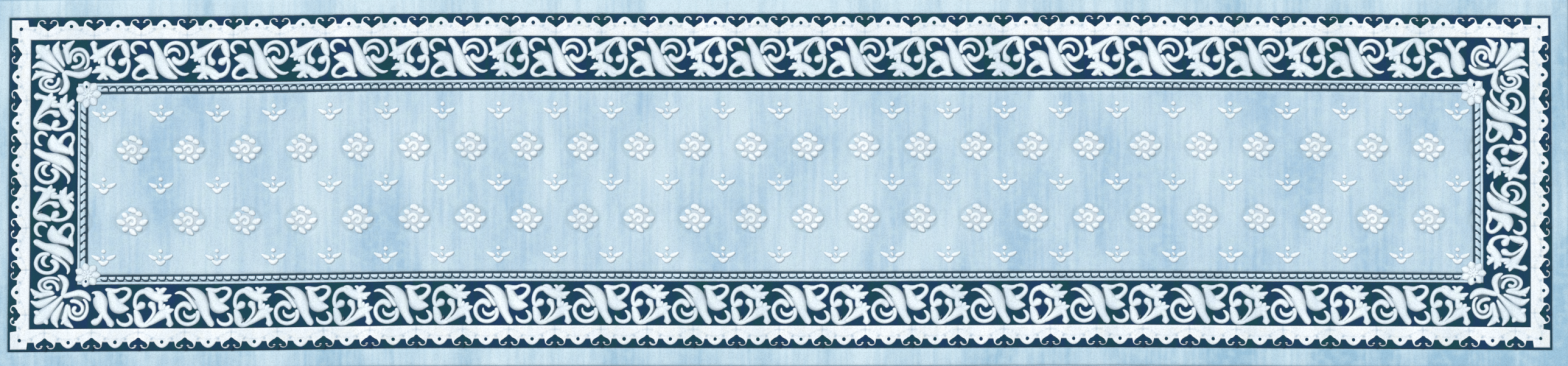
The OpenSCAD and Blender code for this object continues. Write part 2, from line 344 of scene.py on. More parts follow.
class Side(Enum):
    """The four sides of the rug, named as on a map with +y to the north."""

    NORTH = "north"
    EAST = "east"
    SOUTH = "south"
    WEST = "west"

    @property
    def long(self) -> bool:
        """Returns whether this is one of the two long sides."""
        return self in (Side.NORTH, Side.SOUTH)


@dataclass(frozen=True)
class Rug:
    """The rug's driving sizes in millimetres, as the CAD model has them."""

    length: float
    width: float
    pile_z: float
    ground_z: float
    motif_z: float
    edge_w: float = 43.5
    serge_w: float = 9.0
    arcade_w: float = 18.0
    band_w: float = 25.5
    border_side_w: float = 89.5
    border_end_w: float = 95.0
    rail_w: float = 5.5
    guard_ground_w: float = 11.0
    guard_line_w: float = 4.0

    def nested(self, side_inset: float, end_inset: float | None = None) -> tuple[float, float]:
        """Returns the half sizes (x, y) of the frame at those distances inside the rug's edge."""
        return self.length / 2 - (side_inset if end_inset is None else end_inset), self.width / 2 - side_inset

    @property
    def arcade(self) -> tuple[float, float]:
        """Returns the half sizes of the pattern's outer line."""
        return self.nested(self.edge_w)

    @property
    def border(self) -> tuple[float, float]:
        """Returns the half sizes of the main border's outer edge."""
        return self.nested(self.edge_w + self.arcade_w + self.band_w)

    @property
    def guard(self) -> tuple[float, float]:
        """Returns the half sizes of the inner guard's outer edge."""
        inset = self.edge_w + self.arcade_w + self.band_w
        return self.nested(inset + self.border_side_w, inset + self.border_end_w)

    @property
    def guard_w(self) -> float:
        """Returns the whole width of the inner guard."""
        return self.rail_w + self.guard_ground_w + self.guard_line_w

    @property
    def field(self) -> tuple[float, float]:
        """Returns the half sizes of the field."""
        return self.guard[0] - self.guard_w, self.guard[1] - self.guard_w


def eased(x: np.ndarray, at: tuple[float, ...], value: tuple[float, ...]) -> np.ndarray:
    """Returns the values at x with a smooth step between each two knots, and flat outside them."""
    knots = np.array(at)
    k = np.clip(np.searchsorted(knots, x) - 1, 0, len(knots) - 2)
    t = np.clip((x - knots[k]) / (knots[k + 1] - knots[k]), 0, 1)
    values = np.array(value)
    return values[k] + (values[k + 1] - values[k]) * t * t * (3 - 2 * t)


@dataclass(frozen=True)
class Lie:
    """How the rug lies on the floor: a slight bow, a slight flare, and a few millimetres of drawing.

    places are the knots along the rug, where it is drawn along and across by so much, and rows the knots
    across it, where its rows of pattern are drawn across by so much.
    """

    centre: float = 120.0
    lift: float = 0.4
    bow: float = 5.5
    flare: float = 0.0015
    uneven: float = 0.5
    uneven_mm: float = 140.0
    places: tuple[float, ...] = (-1560, -1205, -714, 8, 730, 1250, 1560)
    along: tuple[float, ...] = (0, 2.3, 1.7, -1.2, -2.9, 1.1, 0.5)
    across: tuple[float, ...] = (-1.6, -1.4, 2.3, 0.6, 2.8, 1.5, 1.2)
    rows: tuple[float, ...] = (-337, -294, -204, -147, -73, 0, 73, 147, 204, 294, 337)
    row_shift: tuple[float, ...] = (0.1, 2.2, 1.7, -1.2, -1.9, -2.7, -4.1, -4.9, -1.1, -2.3, -0.7)

    def moved(self, points: np.ndarray, rug: Rug) -> np.ndarray:
        """Lays flat geometry down.

        The bow moves a point across by a parabola of its place along, the flare makes the south side
        longer than the north side, and two slow noises move each point by under a millimetre.

        Args:
            points: (n, 3) places in millimetres.
            rug: the sizes.

        Returns:
            The moved places.
        """
        out = points.copy()
        x, y = points[:, 0], points[:, 1]
        sag = self.lift - ((x - self.centre) / (rug.length / 2)) ** 2
        out[:, 1] += self.bow * sag + self.uneven * lattice(x, y, self.uneven_mm, SEED)
        out[:, 1] += eased(x, self.places, self.across) + eased(y, self.rows, self.row_shift)
        out[:, 0] -= self.flare * x * y / (rug.width / 2)
        out[:, 0] += self.uneven * lattice(x, y, self.uneven_mm, SEED + 1)
        out[:, 0] += eased(x, self.places, self.along)
        return out


def on_side(patch: Patch, side: Side, corner: tuple[float, float]) -> Patch:
    """Turns a drawing in (u, v) into the rug's axes on one side.

    North: x = u - X, y = Y - v. West: x = v - X, y = Y - u. South and east are those turned by half.

    Args:
        patch: the drawing.
        side: where it goes.
        corner: half sizes (X, Y) of the frame that u and v start from.

    Returns:
        The placed patch, with its faces still outwards.
    """
    u, v, z = patch.points.T
    if side.long:
        x, y = u - corner[0], corner[1] - v
    else:
        x, y = v - corner[0], corner[1] - u
    if side in (Side.SOUTH, Side.EAST):
        x, y = -x, -y
    placed = Patch(np.stack([x, y, z], axis=1), patch.faces, patch.cut)
    return placed.flipped() if side.long else placed


def run_of(side: Side, corner: tuple[float, float]) -> float:
    """Returns the length of a frame's side."""
    return 2 * (corner[0] if side.long else corner[1])


@dataclass(frozen=True)
class Pile:
    """A kind of tufted pile: its height, where its walls end, how wide its rounded edge is, and its grain.

    drop is how far the pile falls at its very edge, dim how much painted shade darkens it there, and tuft and
    roll are the heights of the two noises, whose grains are tuft_mm and roll_mm across. tuft_shade paints the
    higher tufts lighter and the lower ones darker.
    """

    top_z: float
    floor_z: float
    shoulder: float
    step: float
    rows: int
    drop: float = 1.7
    dim: float = 0.75
    tuft: float = 0.32
    tuft_mm: float = 3.7
    roll: float = 0.35
    roll_mm: float = 28.0
    tuft_shade: float = 0.12
    seed: int = SEED

    def strip(self, side: Side, corner: tuple[float, float], out: np.ndarray | float, inner: float,
              across: float) -> Patch:
        """A strip along one side of a frame, mitred into its neighbours.

        Within the corner rectangle the places along are drawn in to the diagonal, so that two neighbours
        share the points on it. The pile's height is top_z plus the two noises, less a rounded shoulder at
        each long edge: drop * (1 - d / shoulder) squared where d, the distance to the nearer edge, is
        under shoulder. The noise follows the rug's own axes, so it runs on from strip to strip.

        Args:
            side: where it lies.
            corner: half sizes of the frame that u and v start from.
            out: v of its outer edge, at each of places() or everywhere.
            inner: v of its inner edge.
            across: v of its neighbours' inner edges.

        Returns:
            The closed strip, in the rug's axes.
        """
        first = float(np.ravel(out)[0])
        along = self.places(side, corner, first)
        share = 0.5 - 0.5 * np.cos(np.linspace(0, math.pi, self.rows))[None, :]
        v_out = np.broadcast_to(out, along.shape)[:, None]
        v = v_out + (inner - v_out) * share
        run = run_of(side, corner)
        near = np.minimum(along, run - along)[:, None]
        drawn = first + (across - first) * share
        moved = np.where(near < across, drawn + (across - drawn) * (near - first) / (across - first), near)
        u = np.where(along[:, None] < run / 2, moved, run - moved)
        fall = np.clip(1 - np.minimum(v - v_out, inner - v) / self.shoulder, 0, 1) ** 2
        # painted shade on the rounded shoulders
        cut = np.clip(1 - self.dim * fall, 0, 1)
        placed = on_side(block(u, v, np.full_like(u, self.top_z), cut, self.floor_z), side, corner)
        x, y, z = placed.points.T
        tufts = self.tuft * lattice(x, y, self.tuft_mm, self.seed)
        tufts = tufts + self.roll * lattice(x, y, self.roll_mm, self.seed + 1)
        full = np.concatenate([fall.ravel(), np.zeros(len(x) - fall.size)])
        placed.points[:, 2] += np.where(z > self.floor_z + 0.5, tufts - self.drop * full, 0)
        # painted light and shade: higher tufts lighter, lower ones darker
        placed.cut[:] = np.clip(placed.cut + self.tuft_shade * tufts * (placed.cut > 0), 0, 1)
        return placed

    def places(self, side: Side, corner: tuple[float, float], first: float) -> np.ndarray:
        """Returns the strip's places along the side, from first to as far from the other end."""
        run = run_of(side, corner)
        return np.linspace(first, run - first, int((run - 2 * first) / self.step))


# ---------------------------------------------------------------- finishes


def linear(hex_colour: str) -> tuple[float, float, float, float]:
    """Returns a display colour such as "BCD5E7" as linear red, green, blue and 1."""
    values = [int(hex_colour[k : k + 2], 16) / 255 for k in (0, 2, 4)]
    r, g, b = (c / 12.92 if c <= 0.04045 else ((c + 0.055) / 1.055) ** 2.4 for c in values)
    return r, g, b, 1.0


class Nodes:
    """A material's node tree, with short calls for the nodes that the finishes use."""

    def __init__(self, name: str) -> None:
        """Starts an empty material of that name with a Principled surface."""
        self.material = bpy.data.materials.new(name)
        self.material.use_nodes = True
        self.tree = self.material.node_tree
        self.surface = self.tree.nodes["Principled BSDF"]
        self.place = self.tree.nodes.new("ShaderNodeTexCoord").outputs["Object"]

    def link(self, value: object, socket: Socket) -> None:
        """Links an output to a socket, or sets the socket's own value."""
        if isinstance(value, Socket):
            self.tree.links.new(value, socket)
        else:
            socket.default_value = value

    def node(self, kind: str, out: str | int, inputs: dict[str | int, object], **options: object) -> Socket:
        """Adds a node.

        Args:
            kind: its type, without the word ShaderNode.
            out: which of its outputs is wanted.
            inputs: what goes into its inputs: an output of another node, or a constant.
            options: its own settings.

        Returns:
            The output.
        """
        node = self.tree.nodes.new("ShaderNode" + kind)
        for name, value in options.items():
            setattr(node, name, value)
        for name, value in inputs.items():
            self.link(value, node.inputs[name])
        return node.outputs[out]

    def axis(self, index: int) -> Socket:
        """Returns one object coordinate: 0 along, 1 across."""
        return self.node("SeparateXYZ", index, {0: self.place})

    def noise(self, size_mm: float, detail: float = 2.0, squash: float = 1.0) -> Socket:
        """Returns a noise whose grains are about size_mm long, and size_mm / squash across the rug."""
        place = self.place
        if squash != 1.0:
            place = self.node("Mapping", "Vector", {"Vector": place, "Scale": (1, squash, 1)})
        return self.node("TexNoise", "Fac", {"Vector": place, "Scale": 1000 / size_mm, "Detail": detail})

    def cells(self, size_mm: float) -> Socket:
        """Returns the distance to the nearest of random cell centres about size_mm apart."""
        return self.node("TexVoronoi", "Distance", {"Vector": self.place, "Scale": 1000 / size_mm})

    def maths(self, operation: str, a: object, b: object = 0.0) -> Socket:
        """Returns the result of one Math node."""
        return self.node("Math", 0, {0: a, 1: b}, operation=operation)

    def spread(self, value: Socket, low: float, high: float, to_low: float = 0.0,
               to_high: float = 1.0) -> Socket:
        """Returns value with low to high stretched to to_low to to_high, and clamped."""
        return self.node("MapRange", "Result", {"From Min": low, "From Max": high, "To Min": to_low,
                                                "To Max": to_high, "Value": value})

    def mix(self, share: object, a: object, b: object, blend: str = "MIX") -> Socket:
        """Returns colour a mixed with colour b, by a share that is clamped."""
        return self.node("Mix", 2, {0: share, 6: a, 7: b}, data_type="RGBA", blend_type=blend)

    def openness(self) -> Socket:
        """Returns the mesh's cut number, from which the finishes paint shade."""
        return self.node("Attribute", "Fac", {}, attribute_name="cut")

    def bump(self, height: Socket, depth_mm: float, strength: float) -> None:
        """Gives the surface a bump of that depth."""
        self.link(self.node("Bump", "Normal", {"Distance": depth_mm * MM, "Strength": strength,
                                               "Height": height}), self.surface.inputs["Normal"])

    def finish(self, colour: object, roughness: float, sheen: float) -> Material:
        """Sets the surface's colour and its constants, and returns the material."""
        for name, value in (("Base Color", colour), ("Roughness", roughness), ("Sheen Weight", sheen),
                            ("Sheen Roughness", 0.5), ("Specular IOR Level", 0.15)):
            self.link(value, self.surface.inputs[name])
        return self.material


@dataclass(frozen=True)
class PileFinish:
    """Cut wool pile: patches of two shades, streaks along the tufting, tuft tips with painted shade between
    them, and painted shade in carved grooves.

    Its last field sets a painted light falloff: the colour is lightest along the north side and darkest at
    the east end.
    """

    name: str
    light: str
    dark: str
    # groove colour: painted shade in grooves and at walls
    deep: str
    tint: str
    patch_mm: float = 170.0
    streak: float = 0.5
    tint_share: float = 0.35
    groove: float = 0.9
    # strength of a painted light falloff across the rug
    painted_light_falloff: float = 0.0

    def material(self) -> Material:
        """Returns the material.

        Shade is patches plus streaks, a slow noise and a fine one that are both stretched across the rug,
        plus a painted light falloff, 0.33 + 0.55 y - 0.1 x - 0.29 |x| in metres times its strength. The
        mesh's cut number mixes in the groove colour, which is painted shade, and a cell pattern paints shade
        in the gaps between tufts.
        """
        n = Nodes(self.name)
        patches = n.spread(n.noise(self.patch_mm, 3.0, 0.35), 0.3, 0.7, -0.5, 0.5)
        streaks = n.spread(n.noise(9.0, 2.0, 0.07), 0.3, 0.7, -self.streak, self.streak)
        # painted light falloff: lighter to the north, darker towards both ends and most to the east
        shade = n.maths("ADD", n.maths("ADD", patches, streaks), 0.5 + 0.33 * self.painted_light_falloff)
        x, y = n.axis(0), n.axis(1)
        for place, share in ((y, 0.55), (x, -0.1), (n.maths("ABSOLUTE", x), -0.29)):
            shade = n.maths("ADD", shade, n.maths("MULTIPLY", place, share * self.painted_light_falloff))
        colour = n.mix(shade, linear(self.dark), linear(self.light))
        blotch = n.spread(n.noise(16.0), 0.45, 0.7, 0.0, self.tint_share)
        colour = n.mix(blotch, colour, linear(self.tint))
        # painted shade: the groove colour comes in where the openness is low
        colour = n.mix(n.spread(n.openness(), 0.0, self.groove), linear(self.deep), colour)
        tips = n.cells(1.9)
        # painted shade darkens the gaps between tufts
        colour = n.mix(1.0, colour, n.spread(tips, 0.25, 0.8, 1.0, 0.84), "MULTIPLY")
        colour = n.mix(1.0, colour, n.spread(n.noise(0.5), 0.3, 0.7, 0.93, 1.03), "MULTIPLY")
        fibres = n.maths("MULTIPLY", n.noise(0.45, 3.0), 0.6)
        n.bump(n.maths("SUBTRACT", fibres, tips), 0.55, 0.5)
        return n.finish(colour, 0.95, 0.2)


@dataclass(frozen=True)
class WeaveFinish:
    """Plain or twill woven cloth: two sets of threads whose crowns pass over each other in turn."""

    name: str
    warp: str
    weft: str
    pitch_mm: float
    slub: float = 0.25

    def material(self) -> Material:
        """Returns the material.

        A thread's height is the sine of its place over the pitch, and which set is on top changes with
        the sign of the product of two sines of half that rate.
        """
        n = Nodes(self.name)
        rate = math.pi / (self.pitch_mm * MM)
        sines = [n.maths("SINE", n.maths("MULTIPLY", n.axis(k), rate)) for k in (0, 1)]
        crowns = [n.maths("ABSOLUTE", s) for s in sines]
        over = n.maths("GREATER_THAN", n.maths("MULTIPLY", sines[0], sines[1]), 0.0)
        height = n.mix(over, crowns[0], crowns[1])
        colour = n.mix(over, linear(self.warp), linear(self.weft))
        # painted shade: the low parts between thread crowns darken towards near-black
        colour = n.mix(n.spread(height, 0.0, 0.8, 0.45, 0.0), colour, (0.05, 0.045, 0.035, 1.0))
        colour = n.mix(n.spread(n.noise(22.0, 4.0), 0.35, 0.7, 0.0, self.slub), colour, linear(self.weft))
        n.bump(n.maths("ADD", height, n.maths("MULTIPLY", n.noise(0.6), 0.4)), 0.3, 0.7)
        return n.finish(colour, 0.9, 0.1)


@dataclass(frozen=True)
class YarnFinish:
    """Spun yarn or thread: fibres along a twist, with a slightly varied shade."""

    name: str
    light: str
    dark: str

    def material(self) -> Material:
        """Returns the material: a slow noise mixes the shades, a low cut number mixes in painted shade, and a
        fine noise is the fibres.
        """
        n = Nodes(self.name)
        shade = n.spread(n.noise(26.0, 3.0), 0.3, 0.7)
        colour = n.mix(shade, linear(self.dark), linear(self.light))
        # painted shade: a dark grey-blue comes in where the openness is low
        colour = n.mix(n.spread(n.openness(), 0.0, 0.9, 0.45, 0.0), colour, linear("5D7482"))
        n.bump(n.noise(0.5, 3.0), 0.25, 0.6)
        return n.finish(colour, 0.9, 0.2)


@dataclass(frozen=True)
class LatexFinish:
    """Foamed latex: pale, matt, with fine pores."""

    name: str = "foamed_latex"

    def material(self) -> Material:
        """Returns the material: a noise shades it and small cells are its pores."""
        n = Nodes(self.name)
        colour = n.mix(n.noise(40.0, 4.0), linear("D9D2BC"), linear("C3BAA0"))
        n.bump(n.cells(1.4), 0.25, 0.6)
        return n.finish(colour, 0.85, 0.0)


class Finish(Enum):
    """Every finish of the rug. A pile's colours are its light, dark and tint shades, and its groove colour,
    which is painted shade.
    """

    # FIELD and EDGE carry a painted light falloff
    FIELD = PileFinish("field_wool", "CFE2EC", "A7C8DF", "9AB4C2", "CBE4E6", 100.0, 0.24, painted_light_falloff=0.3)
    EDGE = PileFinish("edge_wool", "D4E7F0", "9CC3DA", "86A8BA", "CBE3EA", 120.0, 0.2, painted_light_falloff=1.0)
    WHITE = PileFinish("motif_wool", "F3FAFE", "DDEAF3", "7E97A8", "E6F4EE", 60, 0.2)
    BAND = PileFinish("band_wool", "F8FBFE", "E4EDF3", "86AAC4", "F0F1E8", 60, 0.2)
    FLOWER = PileFinish("flower_wool", "F8FCFE", "E6F0F5", "A2B8C8", "E4F2EE", 50, 0.2)
    NAVY = PileFinish("border_wool", "113862", "08454E", "0A2433", "123C4C", 60, 0.3)
    LINE = PileFinish("line_wool", "355468", "284659", "16303F", "2F5568", 60, 0.3)
    RAIL = PileFinish("guard_wool", "D6EAF6", "C4DCEA", "7C95A6", "C6E2E8", 60, 0.3)
    # dark yarn veins of the scrolls, and the painted shade under the palmette petals
    VEIN_AND_SHADE = PileFinish("vein_and_shade_wool", "68808C", "4A6070", "2A3B48", "56707A", 40, 0.2)
    BACKING = WeaveFinish("backing_weave", "CBBE9F", "BFB08C", 1.6)
    CANVAS = WeaveFinish("canvas_weave", "D8CDB2", "CBBD9B", 1.2)
    TAPE = WeaveFinish("tape_weave", "A9BDCB", "9BB1C1", 0.9, 0.15)
    SATIN = WeaveFinish("label_weave", "F1EFE9", "E7E4DB", 0.35, 0.1)
    YARN = YarnFinish("serging_yarn", "C0D8E8", "A6C4D8")
    CORD = YarnFinish("cord_cotton", "DCD2BC", "CBBFA4")
    THREAD = YarnFinish("sewing_thread", "D5E2EA", "C2D2DC")
    LATEX = LatexFinish()


# ---------------------------------------------------------------- putting pieces in the scene


@dataclass
class Workshop:
    """Makes Blender pieces from patches, sets them on the frame's bodies and hides the CAD nodes they stand
    for. Edges over sharp_deg stay sharp.
    """

    rug: Rug
    lie: Lie = Lie()
    sharp_deg: float = 60.0
    materials: dict[Finish, Material] = field(
        default_factory=lambda: {finish: finish.value.material() for finish in Finish})

    def piece(self, name: str, patch: Patch, finish: Finish, slot: str, *stands_for: str,
              body: str = "rug", lies: bool = True) -> bpy.types.Object:
        """Puts a patch into the scene as one piece.

        Args:
            name: the piece's name.
            patch: its surface, in the rug's axes and millimetres.
            finish: its finish.
            slot: not used.
            stands_for: CAD nodes that it replaces.
            body: the CAD body that it rides on.
            lies: whether it follows the way the rug lies.

        Returns:
            The new object.
        """
        points = (self.lie.moved(patch.points, self.rug) if lies else patch.points) * MM
        mesh = bpy.data.meshes.new(name)
        mesh.vertices.add(len(points))
        mesh.vertices.foreach_set("co", points.astype(np.float32).ravel())
        corners = np.concatenate([f.ravel() for f in patch.faces])
        counts = np.concatenate([np.full(len(f), f.shape[1]) for f in patch.faces])
        mesh.loops.add(len(corners))
        mesh.loops.foreach_set("vertex_index", corners.astype(np.int32))
        mesh.polygons.add(len(counts))
        starts = np.concatenate([[0], np.cumsum(counts)[:-1]])
        mesh.polygons.foreach_set("loop_start", starts.astype(np.int32))
        mesh.polygons.foreach_set("loop_total", counts.astype(np.int32))
        # the cut number, from which the finishes paint shade
        mesh.attributes.new("cut", "FLOAT", "POINT").data.foreach_set("value", patch.cut.astype(np.float32))
        mesh.update(calc_edges=True)
        mesh.validate()
        mesh.shade_smooth()
        mesh.set_sharp_from_angle(angle=math.radians(self.sharp_deg))
        mesh.materials.append(self.materials[finish])
        piece = bpy.data.objects.new(name, mesh)
        bpy.context.scene.collection.objects.link(piece)
        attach(piece, body)
        if stands_for:
            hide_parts(*stands_for)
        log.info("%s: %d triangles, rides on %s", name, int((counts - 2).sum()), body)
        return piece

    def dress(self, node: str, finish: Finish) -> None:
        """Gives a CAD node that stays a better finish."""
        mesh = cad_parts[node].data
        mesh.materials.clear()
        mesh.materials.append(self.materials[finish])
        log.info("%s: CAD node kept, finished as %s", node, finish.value.name)


# ---------------------------------------------------------------- sub-assemblies


@dataclass
class EdgeBand:
    """The plain pale pile outside the pattern, one strip to a side."""

    shop: Workshop
    tuck: float = 1.5

    def build(self) -> None:
        """Builds the four strips; their outer edge tucks a little under the serging."""
        rug = self.shop.rug
        inset = rug.serge_w - self.tuck
        wide = rug.edge_w - inset
        pile = Pile(rug.ground_z, rug.pile_z, shoulder=5.0, step=4.5, rows=10)
        for side in Side:
            node = f"edge_pile_{side.value}"
            strip = pile.strip(side, rug.nested(inset), 0.0, wide, wide)
            self.shop.piece(f"{node}_tufts", strip, Finish.EDGE, "edge_pile", node)


@dataclass
class Arcade:
    """The dark outer band and the white band whose edge is cut into hearts and eyelets."""

    shop: Workshop
    lead: dict[Side, float] = field(default_factory=lambda: {
        Side.NORTH: 78.0, Side.EAST: 72.0, Side.SOUTH: 74.5, Side.WEST: 72.0})
    heart_step: float = 93.0
    middle_gaps: int = 4
    middle_short: float = 0.07
    outline: float = 4.7
    base: float = 17.5
    band_low: float = 0.6
    ground_lap: float = 8.0
    corner_block: float = 39.0
    eyelet_half: float = 15.0
    eyelet_rise: float = 11.5
    loop_at: float = 12.0
    loop_r: float = 9.2
    # Half of one dark heart, as (along, inward, width) strokes about its middle, and its middle
    heart_half: Stroke = ((18, 9.5, 7), (12.5, 12, 11.5), (7.5, 15, 12), (3, 19, 10), (0, 26, 3))
    heart_stem: Stroke = ((0, 1.5, 9), (0, 8, 9), (0, 14.5, 14), (0, 20.5, 10), (0, 26, 3))
    fleck: Stroke = ((9, 9.8, 1.2), (6, 11.2, 2.2), (3.5, 10.5, 1.4))
    seam_w: float = 2.2
    seam_from: float = 24.0
    seam_ease: float = 5.0
    dimple_at: tuple[float, float] = (26.0, 23.0)
    dimple_size: tuple[float, float] = (3.0, 2.5)
    scallop_at: float = 29.0
    scallop_rise: float = 7.0
    scallop_half: float = 44.5
    scallop_w: float = 1.8
    dot_r: float = 4.2
    dot_at: float = 17.5
    block_dot: tuple[float, float] = (24.0, 22.0)

    def hearts(self, side: Side) -> np.ndarray:
        """Where the hearts stand along a side: evenly, but for the middle gaps, which are a little shorter.

        Args:
            side: the side.

        Returns:
            Their places from the side's start corner.
        """
        lead, run = self.lead[side], run_of(side, self.shop.rug.arcade)
        gaps = round((run - 2 * lead) / self.heart_step + self.middle_gaps * self.middle_short)
        i = np.arange(gaps + 1)
        i = i - self.middle_short * np.clip(i - (gaps - self.middle_gaps) / 2, 0, self.middle_gaps)
        return lead + (run - 2 * lead) * i / i[-1]

    def eyelets(self, side: Side) -> np.ndarray:
        """Returns the places of the eyelets, half way between the hearts."""
        hearts = self.hearts(side)
        return (hearts[1:] + hearts[:-1]) / 2

    def edge_curve(self, u: np.ndarray, side: Side) -> np.ndarray:
        """The white band's outer edge, as v at each u.

        It is the base line, raised to a circle's top over each loop, raised by the 0.7 power of a half
        cosine over each eyelet, and raised to the outline within a corner block.

        Args:
            u: places along the side.
            side: the side.

        Returns:
            The edge's v.
        """
        hearts, run = self.hearts(side), run_of(side, self.shop.rug.arcade)
        eyelets = self.eyelets(side)
        d = np.abs(u[:, None] - hearts).min(axis=1) - self.loop_at
        loop = self.outline + self.loop_r - np.sqrt(np.clip(self.loop_r**2 - d**2, 0, None))
        v = np.where(np.abs(d) < self.loop_r, np.minimum(loop, self.base), self.base)
        e = np.abs(u[:, None] - eyelets).min(axis=1) / self.eyelet_half
        dome = np.cos(np.clip(e, 0, 1) * math.pi / 2) ** 0.7
        v = np.where(e < 1, self.base - self.eyelet_rise * dome, v)
        return np.where(np.minimum(u, run - u) < self.corner_block, self.outline, v)

    def band(self, side: Side) -> Patch:
        """One side's white band, from its cut edge to the main border.

        The pile sinks along bell curves under each heart's point and in a dimple each side of an eyelet, and
        painted shade darkens those and a faint cosine wave, which parts it into soft scallops.

        Args:
            side: where it lies.

        Returns:
            The closed strip in the rug's axes.
        """
        rug = self.shop.rug
        wide = rug.arcade_w + rug.band_w
        pile = Pile(rug.motif_z - self.band_low, rug.pile_z, shoulder=2.2, step=1.5, rows=14)
        out = self.edge_curve(pile.places(side, rug.arcade, self.outline), side)
        strip = pile.strip(side, rug.arcade, out, wide, wide)
        x, y = strip.points[:, 0], strip.points[:, 1]
        along, inward = (x, rug.arcade[1] - np.abs(y)) if side.long else (y, rug.arcade[0] - np.abs(x))
        d = np.abs(along[:, None] + run_of(side, rug.arcade) / 2 - self.hearts(side)).min(axis=1)
        seam = np.exp(-((d / self.seam_w) ** 2)) * np.clip((inward - self.seam_from) / self.seam_ease, 0, 1)
        (u0, v0), (ru, rv) = self.dimple_at, self.dimple_size
        dimple = np.exp(-(((d - u0) / ru) ** 2) - ((inward - v0) / rv) ** 2)
        wave = self.scallop_rise * np.cos(d / self.scallop_half * math.pi)
        scallop = np.exp(-(((inward - self.scallop_at - wave) / self.scallop_w) ** 2))
        strip.points[:, 2] -= np.where(strip.points[:, 2] > rug.pile_z + 1, 0.7 * seam + 0.5 * dimple, 0)
        # painted shade in the seams, the dimples and along the scallop lines
        strip.cut *= 1 - np.clip(0.3 * seam + 0.7 * dimple + 0.35 * scallop, 0, 0.7)
        return strip

    def drawn(self, side: Side) -> tuple[Patch, Patch]:
        """Returns the dark hearts with the eyelets' and corner blocks' dots, and the white flecks."""
        rug = self.shop.rug
        places = row_at(self.hearts(side), 0.0)
        crown = Crown(rug.motif_z - 1.8, rug.motif_z)
        heart = carved((self.heart_half, self.heart_stem, mirrored(self.heart_half)), crown)
        thin = Crown(rug.motif_z - 1.2, rug.motif_z + 0.3)
        fleck = carved((self.fleck, mirrored(self.fleck)), thin, 3)
        spots = row_at(self.eyelets(side), self.dot_at)
        if side.long:
            u, v = self.block_dot
            spots = np.concatenate([spots, [[u, v], [run_of(side, rug.arcade) - u, v]]])
        dot = disc(self.dot_r, self.dot_r, Crown(rug.motif_z - 1.6, rug.motif_z + 0.2), 12)
        return joined([repeated(heart, places), repeated(dot, spots)]), repeated(fleck, places)

    def build(self) -> None:
        """Builds ground, band, hearts and dots on each side."""
        rug = self.shop.rug
        deep = rug.arcade_w + self.ground_lap
        pile = Pile(rug.ground_z, rug.pile_z, shoulder=1.5, step=4.0, rows=8)
        for side in Side:
            name = side.value
            ground = pile.strip(side, rug.arcade, 0.0, deep, deep)
            self.shop.piece(f"arcade_ground_{name}_tufts", ground, Finish.NAVY, "arcade_pile",
                            f"arcade_ground_{name}")
            dark, flecks = (on_side(patch, side, rug.arcade) for patch in self.drawn(side))
            self.shop.piece(f"arcade_band_{name}_tufts", joined([self.band(side), flecks]), Finish.BAND,
                            "band_pile", f"arcade_band_{name}")
            self.shop.piece(f"arcade_hearts_{name}", dark, Finish.NAVY, "arcade_pile")


